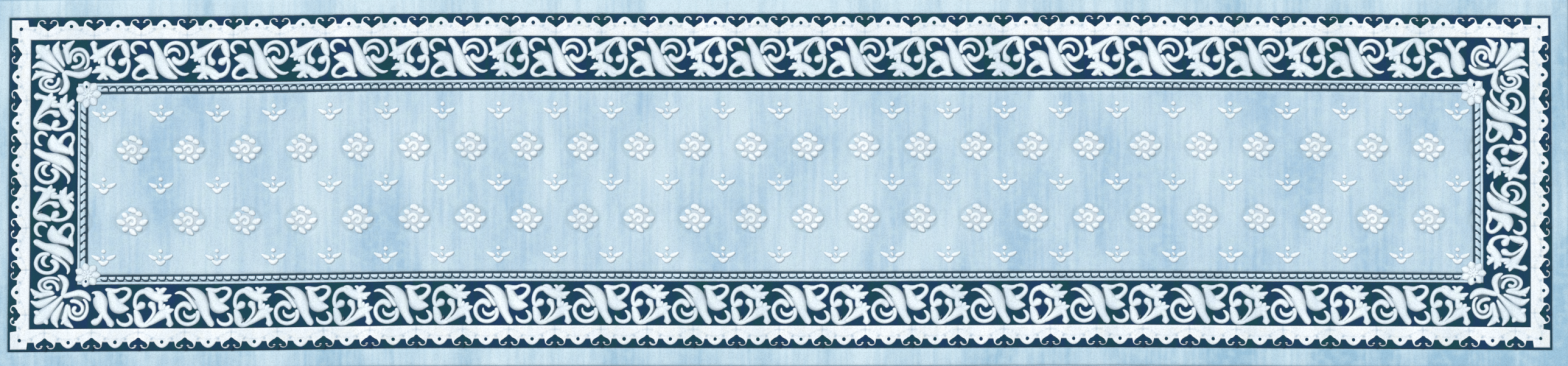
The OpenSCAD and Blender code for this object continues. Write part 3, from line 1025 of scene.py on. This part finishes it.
@dataclass
class Scrolls:
    """The main border: dark ground, a run of carved scrolls on each side, and their dark veins."""

    shop: Workshop
    ref_step: float = 201.0
    ref_width: float = 89.5
    wanted_step: float = 200.0
    lead: dict[Side, float] = field(default_factory=lambda: {
        Side.NORTH: 30.3, Side.EAST: 31.2, Side.SOUTH: 33.5, Side.WEST: 23.2})
    side_room: float = 73.0
    end_room: float = 37.0
    last_part: float = 0.73
    end_inset: float = 4.0
    sunk: float = 1.0
    low: float = 0.5
    layer: float = 0.12
    # One scroll, as (along, inward, width) strokes from its knob
    leaf: tuple[Stroke, ...] = (
        [(0.5, 2.5, 8), (0.7, 8, 15.5), (1.5, 15, 11), (3, 21, 10), (7, 28, 15), (12, 34, 16)],
        [(-7.5, 38.5, 3), (0, 36, 11), (7, 33.5, 18), (14, 29.5, 21), (22, 24, 18), (30, 17.5, 14),
         (38, 11.5, 10), (47, 7.5, 8)],
        [(10, 35, 15), (5, 42, 10), (1.5, 46.5, 4)],
        [(15, 36, 14), (13.5, 43, 11), (11, 49.5, 4)],
        [(17, 36, 14), (19, 44, 11), (19, 52, 11), (21, 61, 14)],
    )
    lower_leaf: tuple[Stroke, ...] = (
        [(-3, 68, 3), (5, 64.5, 10), (13, 61.5, 16), (22, 62.5, 21), (31, 65.5, 20), (41, 70, 16),
         (50, 75, 12), (58, 74, 10.5), (65, 69.5, 9.5), (69.5, 61, 8.5), (71, 51, 8.5), (69, 43, 9),
         (64, 37, 8)],
        [(14, 59, 12), (9, 57, 7), (4.5, 56.5, 3)],
        [(25, 66, 14), (20, 73, 13), (13, 78.5, 10), (7, 80, 3)],
        [(22, 74, 8), (25, 79.5, 7), (30, 81, 3)],
        [(36, 69, 14), (39, 76, 12), (45, 80, 8), (52, 80.5, 3)],
    )
    limbs: tuple[Stroke, ...] = (
        [(51, 8, 6), (44, 14.5, 6.5), (37, 23, 7), (32.5, 32, 7.5), (33, 40, 10), (36, 46, 15),
         (38.5, 50, 15), (40, 54.5, 10)],
        [(41, 9, 7), (49, 6.5, 9), (58, 8.5, 15), (63, 15, 18), (65, 24, 16), (68, 32, 12), (72, 38, 5)],
        [(69, 37, 7), (64, 42, 11), (58.5, 46, 16), (54.5, 48.5, 15.5), (50.5, 51, 9)],
    )
    crest: tuple[Stroke, ...] = (
        [(87, 30.5, 3), (81, 25.5, 7.5), (77.8, 18, 8.5), (80.5, 11, 8.5), (88, 7.5, 8.5), (97, 8.5, 8),
         (103.5, 13, 6.5), (106.5, 20, 3)],
    )
    flower: tuple[Stroke, ...] = (
        [(82, 40, 4), (89, 40.5, 13), (96, 41, 22), (102, 43, 28), (108, 47.5, 29), (113, 56, 22),
         (117, 65, 17), (120, 73, 14), (121, 80, 8)],
        [(104, 53, 16), (94, 57, 11), (86, 63.5, 10), (81.5, 71, 9.5), (83, 78, 8.5), (91, 81, 7.5),
         (100, 80, 5)],
        [(97, 82, 4), (105, 77.5, 8), (114, 76, 11), (123, 78, 10), (130, 80, 5)],
    )
    stem: tuple[Stroke, ...] = (
        [(117, 3, 9), (118.5, 8, 14), (123.5, 16, 15), (129, 26, 17), (132.5, 37, 22), (136.5, 49, 27),
         (142.5, 61, 28), (151, 71, 22), (160, 77, 13), (169, 80, 5)],
        [(148, 39, 8), (154, 48, 8.5), (160, 57, 8.5), (167, 65, 8.5), (176, 71, 8), (184, 72.5, 6.5),
         (192, 70, 3)],
    )
    ring: tuple[Stroke, ...] = (
        [(147, 36, 9), (145, 27, 9), (147, 17.5, 9), (155, 10.5, 8.5), (167, 8, 8.5), (179, 12, 8.5),
         (187, 22, 9), (188.5, 34, 9), (183.5, 44, 9.5), (174, 49, 12), (166, 46.5, 13), (162, 41, 12),
         (162, 36, 7)],
        [(149, 30, 7), (154, 24, 8.5), (161, 21.5, 9), (168, 23.5, 8), (172.5, 29, 5.5), (173, 36, 3)],
    )
    veins: tuple[Stroke, ...] = (
        [(150, 56, 1.5), (156, 63, 3), (163, 70, 3.2), (171, 75.5, 1.5)],
        [(58, 10, 2.2), (54, 14, 3), (51, 20, 2)],
        [(123, 52, 1.2), (125, 60, 2.6), (127, 69, 3), (127, 75, 1.5)],
        [(26.5, 41, 1.2), (27, 33, 2.2), (31, 25, 2.6), (38, 17.5, 1.4)],
    )
    bud: tuple[Stroke, ...] = (
        [(117, 3, 8), (118.5, 9, 15), (124, 18, 13), (131, 28, 14), (135.5, 38, 21), (138.5, 49, 29),
         (141, 60, 28), (144, 69, 18), (151, 73, 7), (157, 72, 3)],
        [(158, 14, 9), (150, 13.5, 15), (142.5, 18, 11), (138, 26, 9), (136, 33, 8)],
    )

    def layered(self, groups: list[tuple[Stroke, ...]]) -> Patch:
        """Returns the groups of strokes as ribbons, each group a little higher than the one before it."""
        foot, top = self.shop.rug.ground_z - self.sunk, self.shop.rug.motif_z - self.low
        return joined([carved(group, Crown(foot, top + self.layer * k)) for k, group in enumerate(groups)])

    def runs(self, side: Side) -> tuple[np.ndarray, np.ndarray]:
        """The places and the sizes of the scrolls along a side.

        Their step is the one nearest wanted_step that fills the run less its room, where the last
        scroll of a long side counts only as last_part.

        Args:
            side: the side.

        Returns:
            (n, 2) places and (n, 2) sizes in u and v.
        """
        rug, run = self.shop.rug, run_of(side, self.shop.rug.guard)
        room, part = (self.side_room, self.last_part) if side.long else (self.end_room, 1.0)
        count = round((run - room) / self.wanted_step + 1 - part)
        step = (run - room) / (count - 1 + part)
        before, inset, high = (rug.border_end_w, 0.0, rug.border_side_w) if side.long else (
            rug.border_side_w, self.end_inset, rug.border_end_w - self.end_inset)
        places = row_at(before + self.lead[side] + step * np.arange(count), inset)
        return places, np.tile([step / self.ref_step, high / self.ref_width], (count, 1))

    def build(self) -> None:
        """Builds ground, scrolls and veins on each side; a long side's last scroll ends in a bud."""
        rug = self.shop.rug
        plain = [self.leaf, self.lower_leaf, self.limbs, self.crest, self.flower]
        whole = self.layered([*plain, self.stem, self.ring])
        last = self.layered([*plain, self.bud])
        veins = carved(self.veins, Crown(rug.motif_z - 1.2, rug.motif_z + 0.35))
        pile = Pile(rug.ground_z, rug.pile_z, shoulder=2.0, step=4.5, rows=22)
        for side in Side:
            name = side.value
            wide, across = rug.border_side_w, rug.border_end_w
            if not side.long:
                wide, across = across, wide
            self.shop.piece(f"border_ground_{name}_tufts", pile.strip(side, rug.border, 0.0, wide, across),
                            Finish.NAVY, "border_pile", f"border_ground_{name}")
            places, sizes = self.runs(side)
            full = len(places) - 1 if side.long else len(places)
            scrolls = [repeated(whole, places[:full], sizes[:full])]
            if side.long:
                scrolls.append(repeated(last, places[full:], sizes[full:]))
            lines = repeated(veins, places[:full], sizes[:full])
            self.shop.piece(f"scrolls_{name}_carved", on_side(joined(scrolls), side, rug.border),
                            Finish.WHITE, "motif_pile", f"scrolls_{name}")
            self.shop.piece(f"scroll_veins_{name}", on_side(lines, side, rug.border), Finish.VEIN_AND_SHADE,
                            "border_pile")


@dataclass
class Palmettes:
    """The four corner fans, each five petals, two volutes and two tails, with a grey layer of painted shade
    under the petals.
    """

    shop: Workshop
    squeeze_from: float = 60.0
    squeeze: float = 0.8
    slimmer: float = 0.93
    middle: Stroke = ((68, 68, 6), (58, 58, 9), (50, 49.5, 13), (41, 41, 18), (32, 32, 24), (24, 24, 26),
                      (17, 17, 19), (11, 11, 8))
    lobes: tuple[Stroke, ...] = (
        [(28, 23, 14), (33, 15.5, 10.5), (36.5, 9.5, 4)],
        [(68, 55, 5), (63, 46, 8), (57, 36, 12), (52, 26, 15.5), (50.5, 17.5, 14.5), (53, 10, 8.5),
         (57.5, 2.5, 3)],
        [(76, 50, 7), (75, 40, 10), (72.5, 29, 10.5), (71, 20, 12.5), (75.5, 12, 12.5), (82, 6.5, 7.5),
         (88, 2, 3)],
        [(71, 19, 10), (66.5, 12.5, 6), (63, 9.5, 3)],
    )
    volute: tuple[Stroke, ...] = (
        [(79, 48, 5), (79.5, 38, 7), (81, 29, 7.5), (86.5, 22.5, 7.5), (94.5, 19.5, 7.5), (103, 20.5, 7.5),
         (110, 26, 7.5), (114.5, 35, 7), (115.5, 45, 6), (113, 54, 6), (107, 60.5, 4.5)],
        [(94, 45, 6), (89.5, 41, 8.5), (88.5, 35.5, 7), (93.5, 30.5, 6.5), (100.5, 31, 6.5), (105.5, 37, 6.5),
         (105.5, 45, 7), (100, 52, 7.5), (91, 56, 8), (81, 56, 7)],
        [(66, 66, 8), (76, 68, 10.5), (86, 70.5, 11), (98, 72.5, 13), (109, 70, 13), (117, 64, 10),
         (122, 56, 4)],
    )
    # grey pads of painted shade laid under the petals
    pad: tuple[Stroke, ...] = (
        [(66, 64, 12), (56, 50, 26), (46, 38, 40), (38, 30, 30)],
        [(80, 52, 10), (72, 38, 16), (64, 26, 22), (60, 20, 14)],
        [(84, 62, 12), (98, 62, 12), (108, 58, 8)],
        [(88, 30, 8), (97, 25, 7), (106, 29, 7), (110, 40, 7), (108, 50, 6)],
    )

    def across(self, stroke: Stroke) -> Stroke:
        """Returns a stroke's mirror image about the diagonal, drawn in and slimmer beyond squeeze_from."""
        start = self.squeeze_from
        return [(v, min(u, start + self.squeeze * (u - start)), w * (self.slimmer if u > start else 1))
                for u, v, w in stroke]

    def whole(self, strokes: list[Stroke], crown: Crown) -> Patch:
        """Returns the strokes and their mirror images about the diagonal, as ribbons."""
        return carved(strokes + [self.across(s) for s in strokes], crown)

    def build(self) -> None:
        """Builds the petals, and the grey pads of painted shade that show between them, in the four corners.
        """
        rug = self.shop.rug
        foot = rug.ground_z - 1.0
        petals = joined([
            self.whole([*self.lobes, *self.volute], Crown(foot, rug.motif_z - 0.3, 1.13)),
            ribbon(self.middle, Crown(foot, rug.motif_z - 0.1, 1.1)),
        ])
        pads = self.whole(list(self.pad), Crown(rug.ground_z - 2.5, rug.ground_z + 0.7))
        for name, patch, finish, slot, nodes in (
            ("corner_palmettes_carved", petals, Finish.WHITE, "motif_pile", ["corner_palmettes"]),
            # the pads are painted shade
            ("corner_palmette_shade_pads", pads, Finish.VEIN_AND_SHADE, "border_pile", []),
        ):
            north_west = on_side(patch, Side.NORTH, rug.border)
            pair = joined([north_west, north_west.turned(-1, 1)])
            self.shop.piece(name, joined([pair, pair.turned(-1, -1)]), finish, slot, *nodes)


@dataclass
class Guard:
    """The inner guard: a light rail, a light ground, and a dark line with a row of hooks."""

    shop: Workshop
    hook_step: float = 16.5
    hook_inset: float = 26.0
    bead_at: float = 12.6
    side_hook: Stroke = ((-7.5, 12, 2.4), (-6.5, 9.2, 3), (-2, 7.6, 3.2), (3.5, 8, 3.6), (6, 11, 3.6),
                         (6.2, 17, 3.6))
    end_hook: Stroke = ((-4.5, 6.2, 4), (-1.5, 7.6, 4.2), (1, 10.5, 3.6), (3.5, 14, 4), (6, 17.5, 4))

    def build(self) -> None:
        """Builds the rings as four strips each, then the hooks, which change hands at mid side."""
        rug = self.shop.rug
        line_at = rug.rail_w + rug.guard_ground_w
        for name, out, inner, rise, finish, slot in (
            ("guard_rail", 0.0, rug.rail_w, 0.8, Finish.RAIL, "guard_light_pile"),
            ("guard_ground", rug.rail_w, line_at, 0.0, Finish.RAIL, "guard_light_pile"),
            ("guard_line", line_at, rug.guard_w, 0.5, Finish.LINE, "guard_dark_pile"),
        ):
            pile = Pile(rug.ground_z + rise, rug.pile_z, shoulder=1.6, step=4.0, rows=5)
            ring = joined([pile.strip(side, rug.guard, out, inner, inner) for side in Side])
            self.shop.piece(f"{name}_tufts", ring, finish, slot, name)
        hooks, beads = [], []
        crown = Crown(rug.ground_z - 1.5, rug.ground_z + 0.9)
        bead = disc(3.0, 2.1, Crown(rug.ground_z - 0.8, rug.ground_z + 0.8), 10)
        inset = rug.guard_w + self.hook_inset
        for side in Side:
            room = run_of(side, rug.guard) - 2 * inset
            count = int(room / self.hook_step)
            places = row_at(inset + room * (np.arange(count) + 0.5) / count, 0.0)
            hook = ribbon(self.side_hook if side.long else self.end_hook, crown, 3)
            half = count // 2
            rows = [repeated(hook, places[:half]), repeated(hook.turned(-1, 1), places[half:])]
            hooks.append(on_side(joined(rows), side, rug.guard))
            beads.append(on_side(repeated(bead, places + [0, self.bead_at]), side, rug.guard))
        self.shop.piece("guard_hooks", joined(hooks), Finish.LINE, "guard_dark_pile")
        self.shop.piece("guard_beads", joined(beads), Finish.WHITE, "guard_light_pile")


@dataclass
class Flowers:
    """The field and its flowers: rows of rosettes, rows of sprigs between them, and the corner rosettes."""

    shop: Workshop
    step: float = 113.8
    sprig_inset: float = 37.0
    margin: float = 20.0
    grid: float = 4.0
    # A groove's half sizes, the phase of its row, and its depth as a share
    rosette_groove: tuple[float, ...] = (33, 27, 0.5, 1.0)
    sprig_groove: tuple[float, ...] = (25, 17, 0.0, 0.25)
    groove_w: float = 0.14
    edge_fall: float = 3.0
    pad: tuple[float, float] = (27, 22)
    corner_pad: float = 23
    pad_sunk: float = 2
    pad_sides: int = 28
    # openness of the rosette pad; lower paints more grey shade between the petals
    pad_open: float = 0.5
    sprig: tuple[Stroke, ...] = (
        [(-24, 4.5, 2.5), (-19, 1.5, 6), (-13, -1.5, 8.5), (-6, -3, 6)],
        [(6, -3, 6), (13, -1, 8.5), (19, 1.5, 6.5), (24.5, 5, 2.5)],
        [(-4.5, 11, 4), (0, 12.5, 8.5), (4.5, 11, 4)],
        [(-10, -6.5, 3), (-5.5, -10, 7), (0, -13, 9), (5.5, -10, 7), (10, -6.5, 3)],
        [(-3.5, 3.5, 2.5), (-0.5, 1, 4.5), (2, -3.5, 3)],
    )
    petals: tuple[Stroke, ...] = (
        [(-8, 20.5, 4.5), (-3, 23.5, 9.5), (3, 22, 10.5), (9, 17, 5)],
        [(6.5, 15, 6), (13, 15.5, 10.5), (20, 11.5, 6)],
        [(14, -4, 8), (21.5, -2.5, 11.5), (27.5, 0.5, 8), (31.5, 2.5, 3)],
        [(6.5, -14.5, 6), (13.5, -15, 11), (20, -11, 6)],
        [(-5, -16, 6), (1, -21.5, 10.5), (6, -25.5, 7), (9, -28, 3)],
        [(-7.5, -12.5, 7), (-14, -15.5, 11), (-20, -13.5, 6)],
        [(-31.5, 2, 3.5), (-25, -0.5, 11), (-18, -3, 10), (-13, -5, 5)],
        [(-21, 15, 5), (-15, 13, 10.5), (-9, 8, 8)],
        [(-10, -3, 5), (-8, 4, 8), (-1, 7.5, 7), (5.5, 3.5, 7), (5, -4, 7), (-1, -6.5, 7), (-3, -1, 7)],
    )
    corner_petals: int = 7
    # A corner petal, as (radius, width) from the middle out
    inner_turn: float = 0.45
    outer_petal: Sequence[tuple[float, float]] = ((8, 10), (14, 17), (20, 17), (26, 8))
    inner_petal: Sequence[tuple[float, float]] = ((1, 4), (5, 6.5), (11.5, 4))

    @property
    def rows(self) -> tuple[float, float]:
        """Returns how far the rosette rows and the outer sprig rows are from the centre line."""
        sprig_y = self.shop.rug.field[1] - self.sprig_inset
        return sprig_y / 2, sprig_y

    def places(self, y: float, fewer: int) -> np.ndarray:
        """Returns the places of a row at y, with so many fewer than the sprigs have."""
        count = 2 * int((self.shop.rug.field[0] - self.margin) / self.step) + 1 - fewer
        return row_at((np.arange(count) - (count - 1) / 2) * self.step, y)

    def rosette(self) -> Patch:
        """Returns one carved rosette: eight puffed petals and a swirl, over a low pad whose lowered openness
        paints grey shade between the petals.
        """
        rug = self.shop.rug
        crown = Crown(rug.ground_z - 1.2, rug.motif_z, 1.3)
        pad = disc(*self.pad, Crown(rug.ground_z - self.pad_sunk, rug.ground_z + 1.0), self.pad_sides)
        # painted shade: the pad shows grey between the petals
        pad.cut *= self.pad_open
        return joined([pad, carved(self.petals, crown, 4)])

    def corner_rosette(self) -> Patch:
        """One fluffy corner rosette: broad petals in a ring round a smaller ring, over a pad.

        Petal k is a short stroke outwards at the angle k / n of a turn, and the inner ones are turned on
        by inner_turn radians, half way between.

        Returns:
            The closed pieces about (0, 0).
        """
        rug = self.shop.rug
        crown = Crown(rug.ground_z - 1.4, rug.motif_z - 0.2)
        inner = Crown(rug.ground_z - 1.4, rug.motif_z + 0.3)
        pad = Crown(rug.ground_z - self.pad_sunk, rug.ground_z + 1.4)
        parts = [disc(self.corner_pad, self.corner_pad, pad, self.pad_sides)]
        for k in range(self.corner_petals):
            turn = 2 * math.pi * k / self.corner_petals
            for angle, petal, top in ((turn, self.outer_petal, crown),
                                      (turn + self.inner_turn, self.inner_petal, inner)):
                c, s = math.cos(angle), math.sin(angle)
                parts.append(ribbon([(r * c, r * s, w) for r, w in petal], top, 4))
        return joined(parts)

    def ground(self) -> Patch:
        """The field's pile: tufts, and a shallow groove carved round each flower.

        The groove is a bell curve of the distance to the flower's outline, taken as an ellipse.

        Returns:
            The closed block in the rug's axes.
        """
        rug = self.shop.rug
        hx, hy = rug.field
        x, y = np.meshgrid(np.linspace(-hx, hx, int(2 * hx / self.grid)),
                           np.linspace(-hy, hy, int(2 * hy / self.grid)), indexing="ij")
        groove = np.zeros_like(x)
        rosette_y, sprig_y = self.rows
        rosettes = [(y0, *self.rosette_groove) for y0 in (rosette_y, -rosette_y)]
        sprigs = [(y0, *self.sprig_groove) for y0 in (sprig_y, 0.0, -sprig_y)]
        for row_y, half_x, half_y, phase, depth in rosettes + sprigs:
            along = (x / self.step + phase) % 1.0
            dx = (along - np.round(along)) * self.step
            r = np.hypot(dx / half_x, (y - row_y) / half_y)
            groove = np.maximum(groove, depth * np.exp(-(((r - 1.0) / self.groove_w) ** 2)))
        edge = np.minimum(hx - np.abs(x), hy - np.abs(y))
        fall = np.clip(1 - edge / self.edge_fall, 0, 1) ** 2
        tufts = 0.3 * lattice(x, y, 4.0, FIELD_SEED) + 0.45 * lattice(x, y, 30.0, FIELD_SEED + 1)
        z = rug.ground_z + tufts - 0.9 * groove - 1.5 * fall
        # painted shade in each flower's groove and where the edge falls away, and a little painted light on
        # higher tufts
        return block(x, y, z, np.clip(1 - 0.45 * groove - 0.6 * fall + 0.1 * tufts, 0, 1), rug.pile_z)

    def build(self) -> None:
        """Builds the field, the five rows and the corner rosettes."""
        rug = self.shop.rug
        self.shop.piece("field_tufts", self.ground(), Finish.FIELD, "field_pile", "field_pile")
        rosette_y, sprig_y = self.rows
        crown = Crown(rug.ground_z - 1.2, rug.motif_z - 0.1, 1.25)
        sprig = carved(self.sprig, crown, 4)
        rosette = self.rosette()
        for kind, name, y, flower, fewer in (
            ("rosettes", "north", rosette_y, rosette, 1), ("rosettes", "south", -rosette_y, rosette, 1),
            ("sprigs", "north", sprig_y, sprig, 0), ("sprigs", "middle", 0.0, sprig, 0),
            ("sprigs", "south", -sprig_y, sprig, 0),
        ):
            self.shop.piece(f"{kind}_{name}_carved", repeated(flower, self.places(y, fewer)), Finish.FLOWER,
                            "flower_pile", f"{kind}_{name}_row")
        cx, cy = rug.field
        corners = np.array([[-cx, cy], [cx, cy], [cx, -cy], [-cx, -cy]], float)
        self.shop.piece("corner_rosettes_carved", repeated(self.corner_rosette(), corners), Finish.WHITE,
                        "motif_pile", "corner_rosettes")
        eye = disc(3.0, 3.8, Crown(rug.motif_z - 1.6, rug.motif_z + 0.5), 10)
        eyes = repeated(eye, corners + np.sign(corners) * [3.0, 14.0])
        self.shop.piece("corner_rosette_eyes", eyes, Finish.NAVY, "border_pile")


@dataclass
class SergedEdge:
    """The yarn wound over the cord round the rug's edge."""

    shop: Workshop
    wrap: float = 3.2
    per_wrap: int = 4
    half_w: float = 4.7
    half_h: float = 4.4
    lift: float = 0.05
    sides: int = 13
    power: float = 0.75

    def roll(self, run: float, seed: int) -> Patch:
        """One side's roll, drawn with u along and v inwards.

        A section is a rounded square, (cos, sin) each to the power, and its size swells and pinches
        with the sine of the place along over the wrap, which leans with the angle. The two ends are
        rounded as the ribbon's are.

        Args:
            run: its length.
            seed: chooses how unevenly it is wound.

        Returns:
            The closed roll.
        """
        count = int(run / self.wrap) * self.per_wrap
        u = np.linspace(0, run, count)[:, None]
        a = np.linspace(0, 2 * math.pi, self.sides, endpoint=False)[None, :]
        wound = np.abs(np.sin(math.pi * u / self.wrap + 0.5 * a))
        uneven = 0.05 * lattice(u + 0 * a, a * 3 + 0 * u, self.wrap, seed)
        size = 0.93 + 0.07 * wound + uneven
        end = np.clip(np.minimum(u, run - u) / self.half_w + 0.05, 0, 1)
        size = size * np.sqrt(1 - (1 - end) ** 2)
        c, s = np.cos(a), np.sin(a)
        v = self.half_w * (1 + size * np.sign(c) * np.abs(c) ** self.power)
        z = self.half_h * (1 + size * np.sign(s) * np.abs(s) ** self.power) + self.lift
        points = np.stack([u + 0 * a, v, z], axis=-1).reshape(-1, 3)
        number = np.arange(count * self.sides).reshape(count, self.sides)
        after = np.roll(number, -1, axis=1)
        quads = np.stack([number[:-1], number[1:], after[1:], after[:-1]], axis=-1).reshape(-1, 4)
        faces = [quads, number[0][None], number[-1][::-1][None]]
        # painted shade: the swell is the openness, so the pinches between wraps are darker
        return Patch(points, faces, wound.reshape(-1)).outward()

    def build(self) -> None:
        """Builds the four rolls; the ends' rolls run up to the long sides'."""
        outer = self.shop.rug.nested(0)
        for seed, side in enumerate(Side):
            start = 0.0 if side.long else self.half_w
            roll = self.roll(run_of(side, outer) - 2 * start, SERGING_SEED + seed).shifted(start)
            self.shop.piece(f"serging_{side.value}_wound", on_side(roll, side, outer), Finish.YARN,
                            "serging_yarn", f"serging_{side.value}")


@dataclass
class Underside:
    """What shows from below: backing cloth, the tape round the hem, its stitches, and the care label."""

    shop: Workshop
    tape_w: float = 40.0
    tape_t: float = 0.5
    stitch_step: float = 10.0
    stitch_l: float = 7.0
    stitch_in: float = 3.0

    def sheet(self, low: Sequence[float], high: Sequence[float], step: float, wave: float,
              seed: int) -> Patch:
        """A thin closed sheet, its underside waved gently by a slow noise.

        Args:
            low: its lowest corner.
            high: its highest corner.
            step: the size of its quads.
            wave: how far the underside rises.
            seed: chooses the noise.

        Returns:
            The closed sheet.
        """
        nx = max(int((high[0] - low[0]) / step), 3)
        ny = max(int((high[1] - low[1]) / step), 3)
        x, y = np.meshgrid(np.linspace(low[0], high[0], nx), np.linspace(low[1], high[1], ny), indexing="ij")
        under = low[2] + wave * (1 + lattice(x, y, 45.0, seed)) / 2
        top = np.full_like(x, high[2])
        rim = rim_of(nx, ny)
        points = np.concatenate([np.stack([x, y, z], axis=-1).reshape(-1, 3) for z in (top, under)])
        after, below = np.roll(rim, -1), rim + nx * ny
        walls = np.stack([below, np.roll(below, -1), after, rim], axis=1)
        faces = [grid_faces(nx, ny), grid_faces(nx, ny)[:, ::-1] + nx * ny, walls]
        return Patch(points, faces, np.ones(len(points))).outward()

    def stitch(self, half: float, width: float, foot: float) -> Patch:
        """Returns one stitch, a short low ribbon on an underside, from -half to half."""
        ends = width - 0.1
        crown = Crown(foot, 0.0, 1.0, THREAD_SHARES)
        return ribbon([(-half, 0, ends), (0, 0, width), (half, 0, ends)], crown, 2)

    def stitches(self, side: Side, outer: tuple[float, float]) -> Patch:
        """Returns two rows of running stitches along a tape."""
        run, step = run_of(side, outer), self.stitch_step
        stitch = self.stitch(self.stitch_l / 2, 1.0, 0.55)
        rows = (row_at(np.arange(v + step, run - v - step, step), v)
                for v in (self.stitch_in, self.tape_w - self.stitch_in))
        return joined([repeated(stitch, row) for row in rows])

    def build(self) -> None:
        """Builds the cloth, tapes, stitches and label, and finishes the inner layers that CAD keeps."""
        rug = self.shop.rug
        low, high = (np.array(c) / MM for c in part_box("backing_cloth"))
        cloth = self.sheet(low, high, step=24.0, wave=0.12, seed=CLOTH_SEED)
        backing = self.shop.piece("backing_cloth_woven", cloth, Finish.BACKING, "backing_cloth",
                                  "backing_cloth")
        outer = rug.nested(rug.serge_w + 0.1)
        for seed, side in enumerate(Side, CLOTH_SEED + 1):
            name = side.value
            run = run_of(side, outer)
            start = 0.0 if side.long else self.tape_w
            tape = self.sheet((start, 0.0, 0.0), (run - start, self.tape_w, self.tape_t), step=8.0,
                              wave=0.05, seed=seed)
            strip = self.shop.piece(f"hem_tape_{name}_woven", on_side(tape, side, outer), Finish.TAPE,
                                    "hem_tape", f"hem_tape_{name}")
            self.shop.piece(f"hem_stitches_{name}", on_side(self.stitches(side, outer), side, outer),
                            Finish.THREAD, "hem_tape")
        self.label()
        self.shop.dress("latex_layer", Finish.LATEX)
        self.shop.dress("tufting_cloth", Finish.CANVAS)
        self.shop.dress("edge_cord", Finish.CORD)

    def label(self) -> None:
        """Builds the blank care label: its sewn margin stays on the rug and its flap rides on the hinge."""
        for node, name, body in (("label_margin", "label_margin_sewn", "rug"),
                                 ("care_label", "care_label_flap", "label")):
            low, high = (np.array(c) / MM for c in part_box(node))
            patch = self.sheet(low, high, step=2.0, wave=0.04, seed=LABEL_SEED)
            piece = self.shop.piece(name, patch, Finish.SATIN, "label_cloth", node, body=body, lies=False)
            if body == "label":
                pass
            else:
                row = row_at(np.arange(low[0] + 3, high[0] - 2, 4.6), (low[1] + high[1]) / 2)
                self.shop.piece("label_stitches", repeated(self.stitch(1.6, 0.6, 0.2), row), Finish.THREAD,
                                "label_cloth", lies=False)


# ---------------------------------------------------------------- stage


@dataclass(frozen=True)
class Studio:
    """A pale floor, soft light, and a camera that looks straight down on the rug."""

    view_w: float = 3164.0
    centre: tuple[float, float] = (8.0, -1.5)
    lens: float = 85.0
    sensor: float = 36.0
    floor_m: float = 9.0
    sky: tuple[float, float, float, float] = (0.96, 0.98, 1.0, 1.0)
    sky_strength: float = 0.78
    sun_strength: float = 1.75
    sun_deg: tuple[float, float, float] = (18, -38, -34)

    def build(self, rug: Rug) -> None:
        """Sets up floor, lights, world and camera."""
        scene = bpy.context.scene
        scene.view_settings.view_transform = "Standard"
        mesh = bpy.data.meshes.new("floor")
        corners = [(x * self.floor_m, y * self.floor_m, 0) for x, y in ((-1, -1), (1, -1), (1, 1), (-1, 1))]
        mesh.from_pydata(corners, [], [(0, 1, 2, 3)])
        ground = Nodes("pale_floor")
        tone = ground.mix(ground.noise(900.0), linear("DCDBD8"), linear("E4E3E0"))
        mesh.materials.append(ground.finish(tone, 0.8, 0.0))
        floor = bpy.data.objects.new("floor", mesh)
        scene.collection.objects.link(floor)
        world = bpy.data.worlds.new("soft_studio")
        world.use_nodes = True
        world.node_tree.nodes["Background"].inputs["Color"].default_value = self.sky
        world.node_tree.nodes["Background"].inputs["Strength"].default_value = self.sky_strength
        scene.world = world
        sun = bpy.data.lights.new("window", "SUN")
        spread, tilt_x, tilt_y = (math.radians(angle) for angle in self.sun_deg)
        sun.energy, sun.angle = self.sun_strength, spread
        lamp = bpy.data.objects.new("window", sun)
        lamp.rotation_euler = (tilt_x, tilt_y, 0)
        scene.collection.objects.link(lamp)
        camera = bpy.data.objects.new("camera", bpy.data.cameras.new("camera"))
        camera.data.lens, camera.data.sensor_width = self.lens, self.sensor
        height = self.view_w * MM * self.lens / self.sensor + rug.ground_z * MM
        camera.location = (self.centre[0] * MM, self.centre[1] * MM, height)
        camera.data.clip_end = 60
        scene.collection.objects.link(camera)
        scene.camera = camera


def main() -> None:
    logging.basicConfig(level=logging.INFO, format="%(message)s")
    low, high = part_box("serging_north")
    rug = Rug(
        length=high[0] / MM - low[0] / MM,
        width=2 * high[1] / MM,
        pile_z=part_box("field_pile")[0][2] / MM,
        ground_z=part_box("field_pile")[1][2] / MM,
        motif_z=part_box("corner_palmettes")[1][2] / MM,
    )
    Studio().build(rug)
    shop = Workshop(rug)
    for part in (EdgeBand, Arcade, Scrolls, Palmettes, Guard, Flowers, SergedEdge, Underside):
        part(shop).build()


if __name__ == "__main__":
    main()
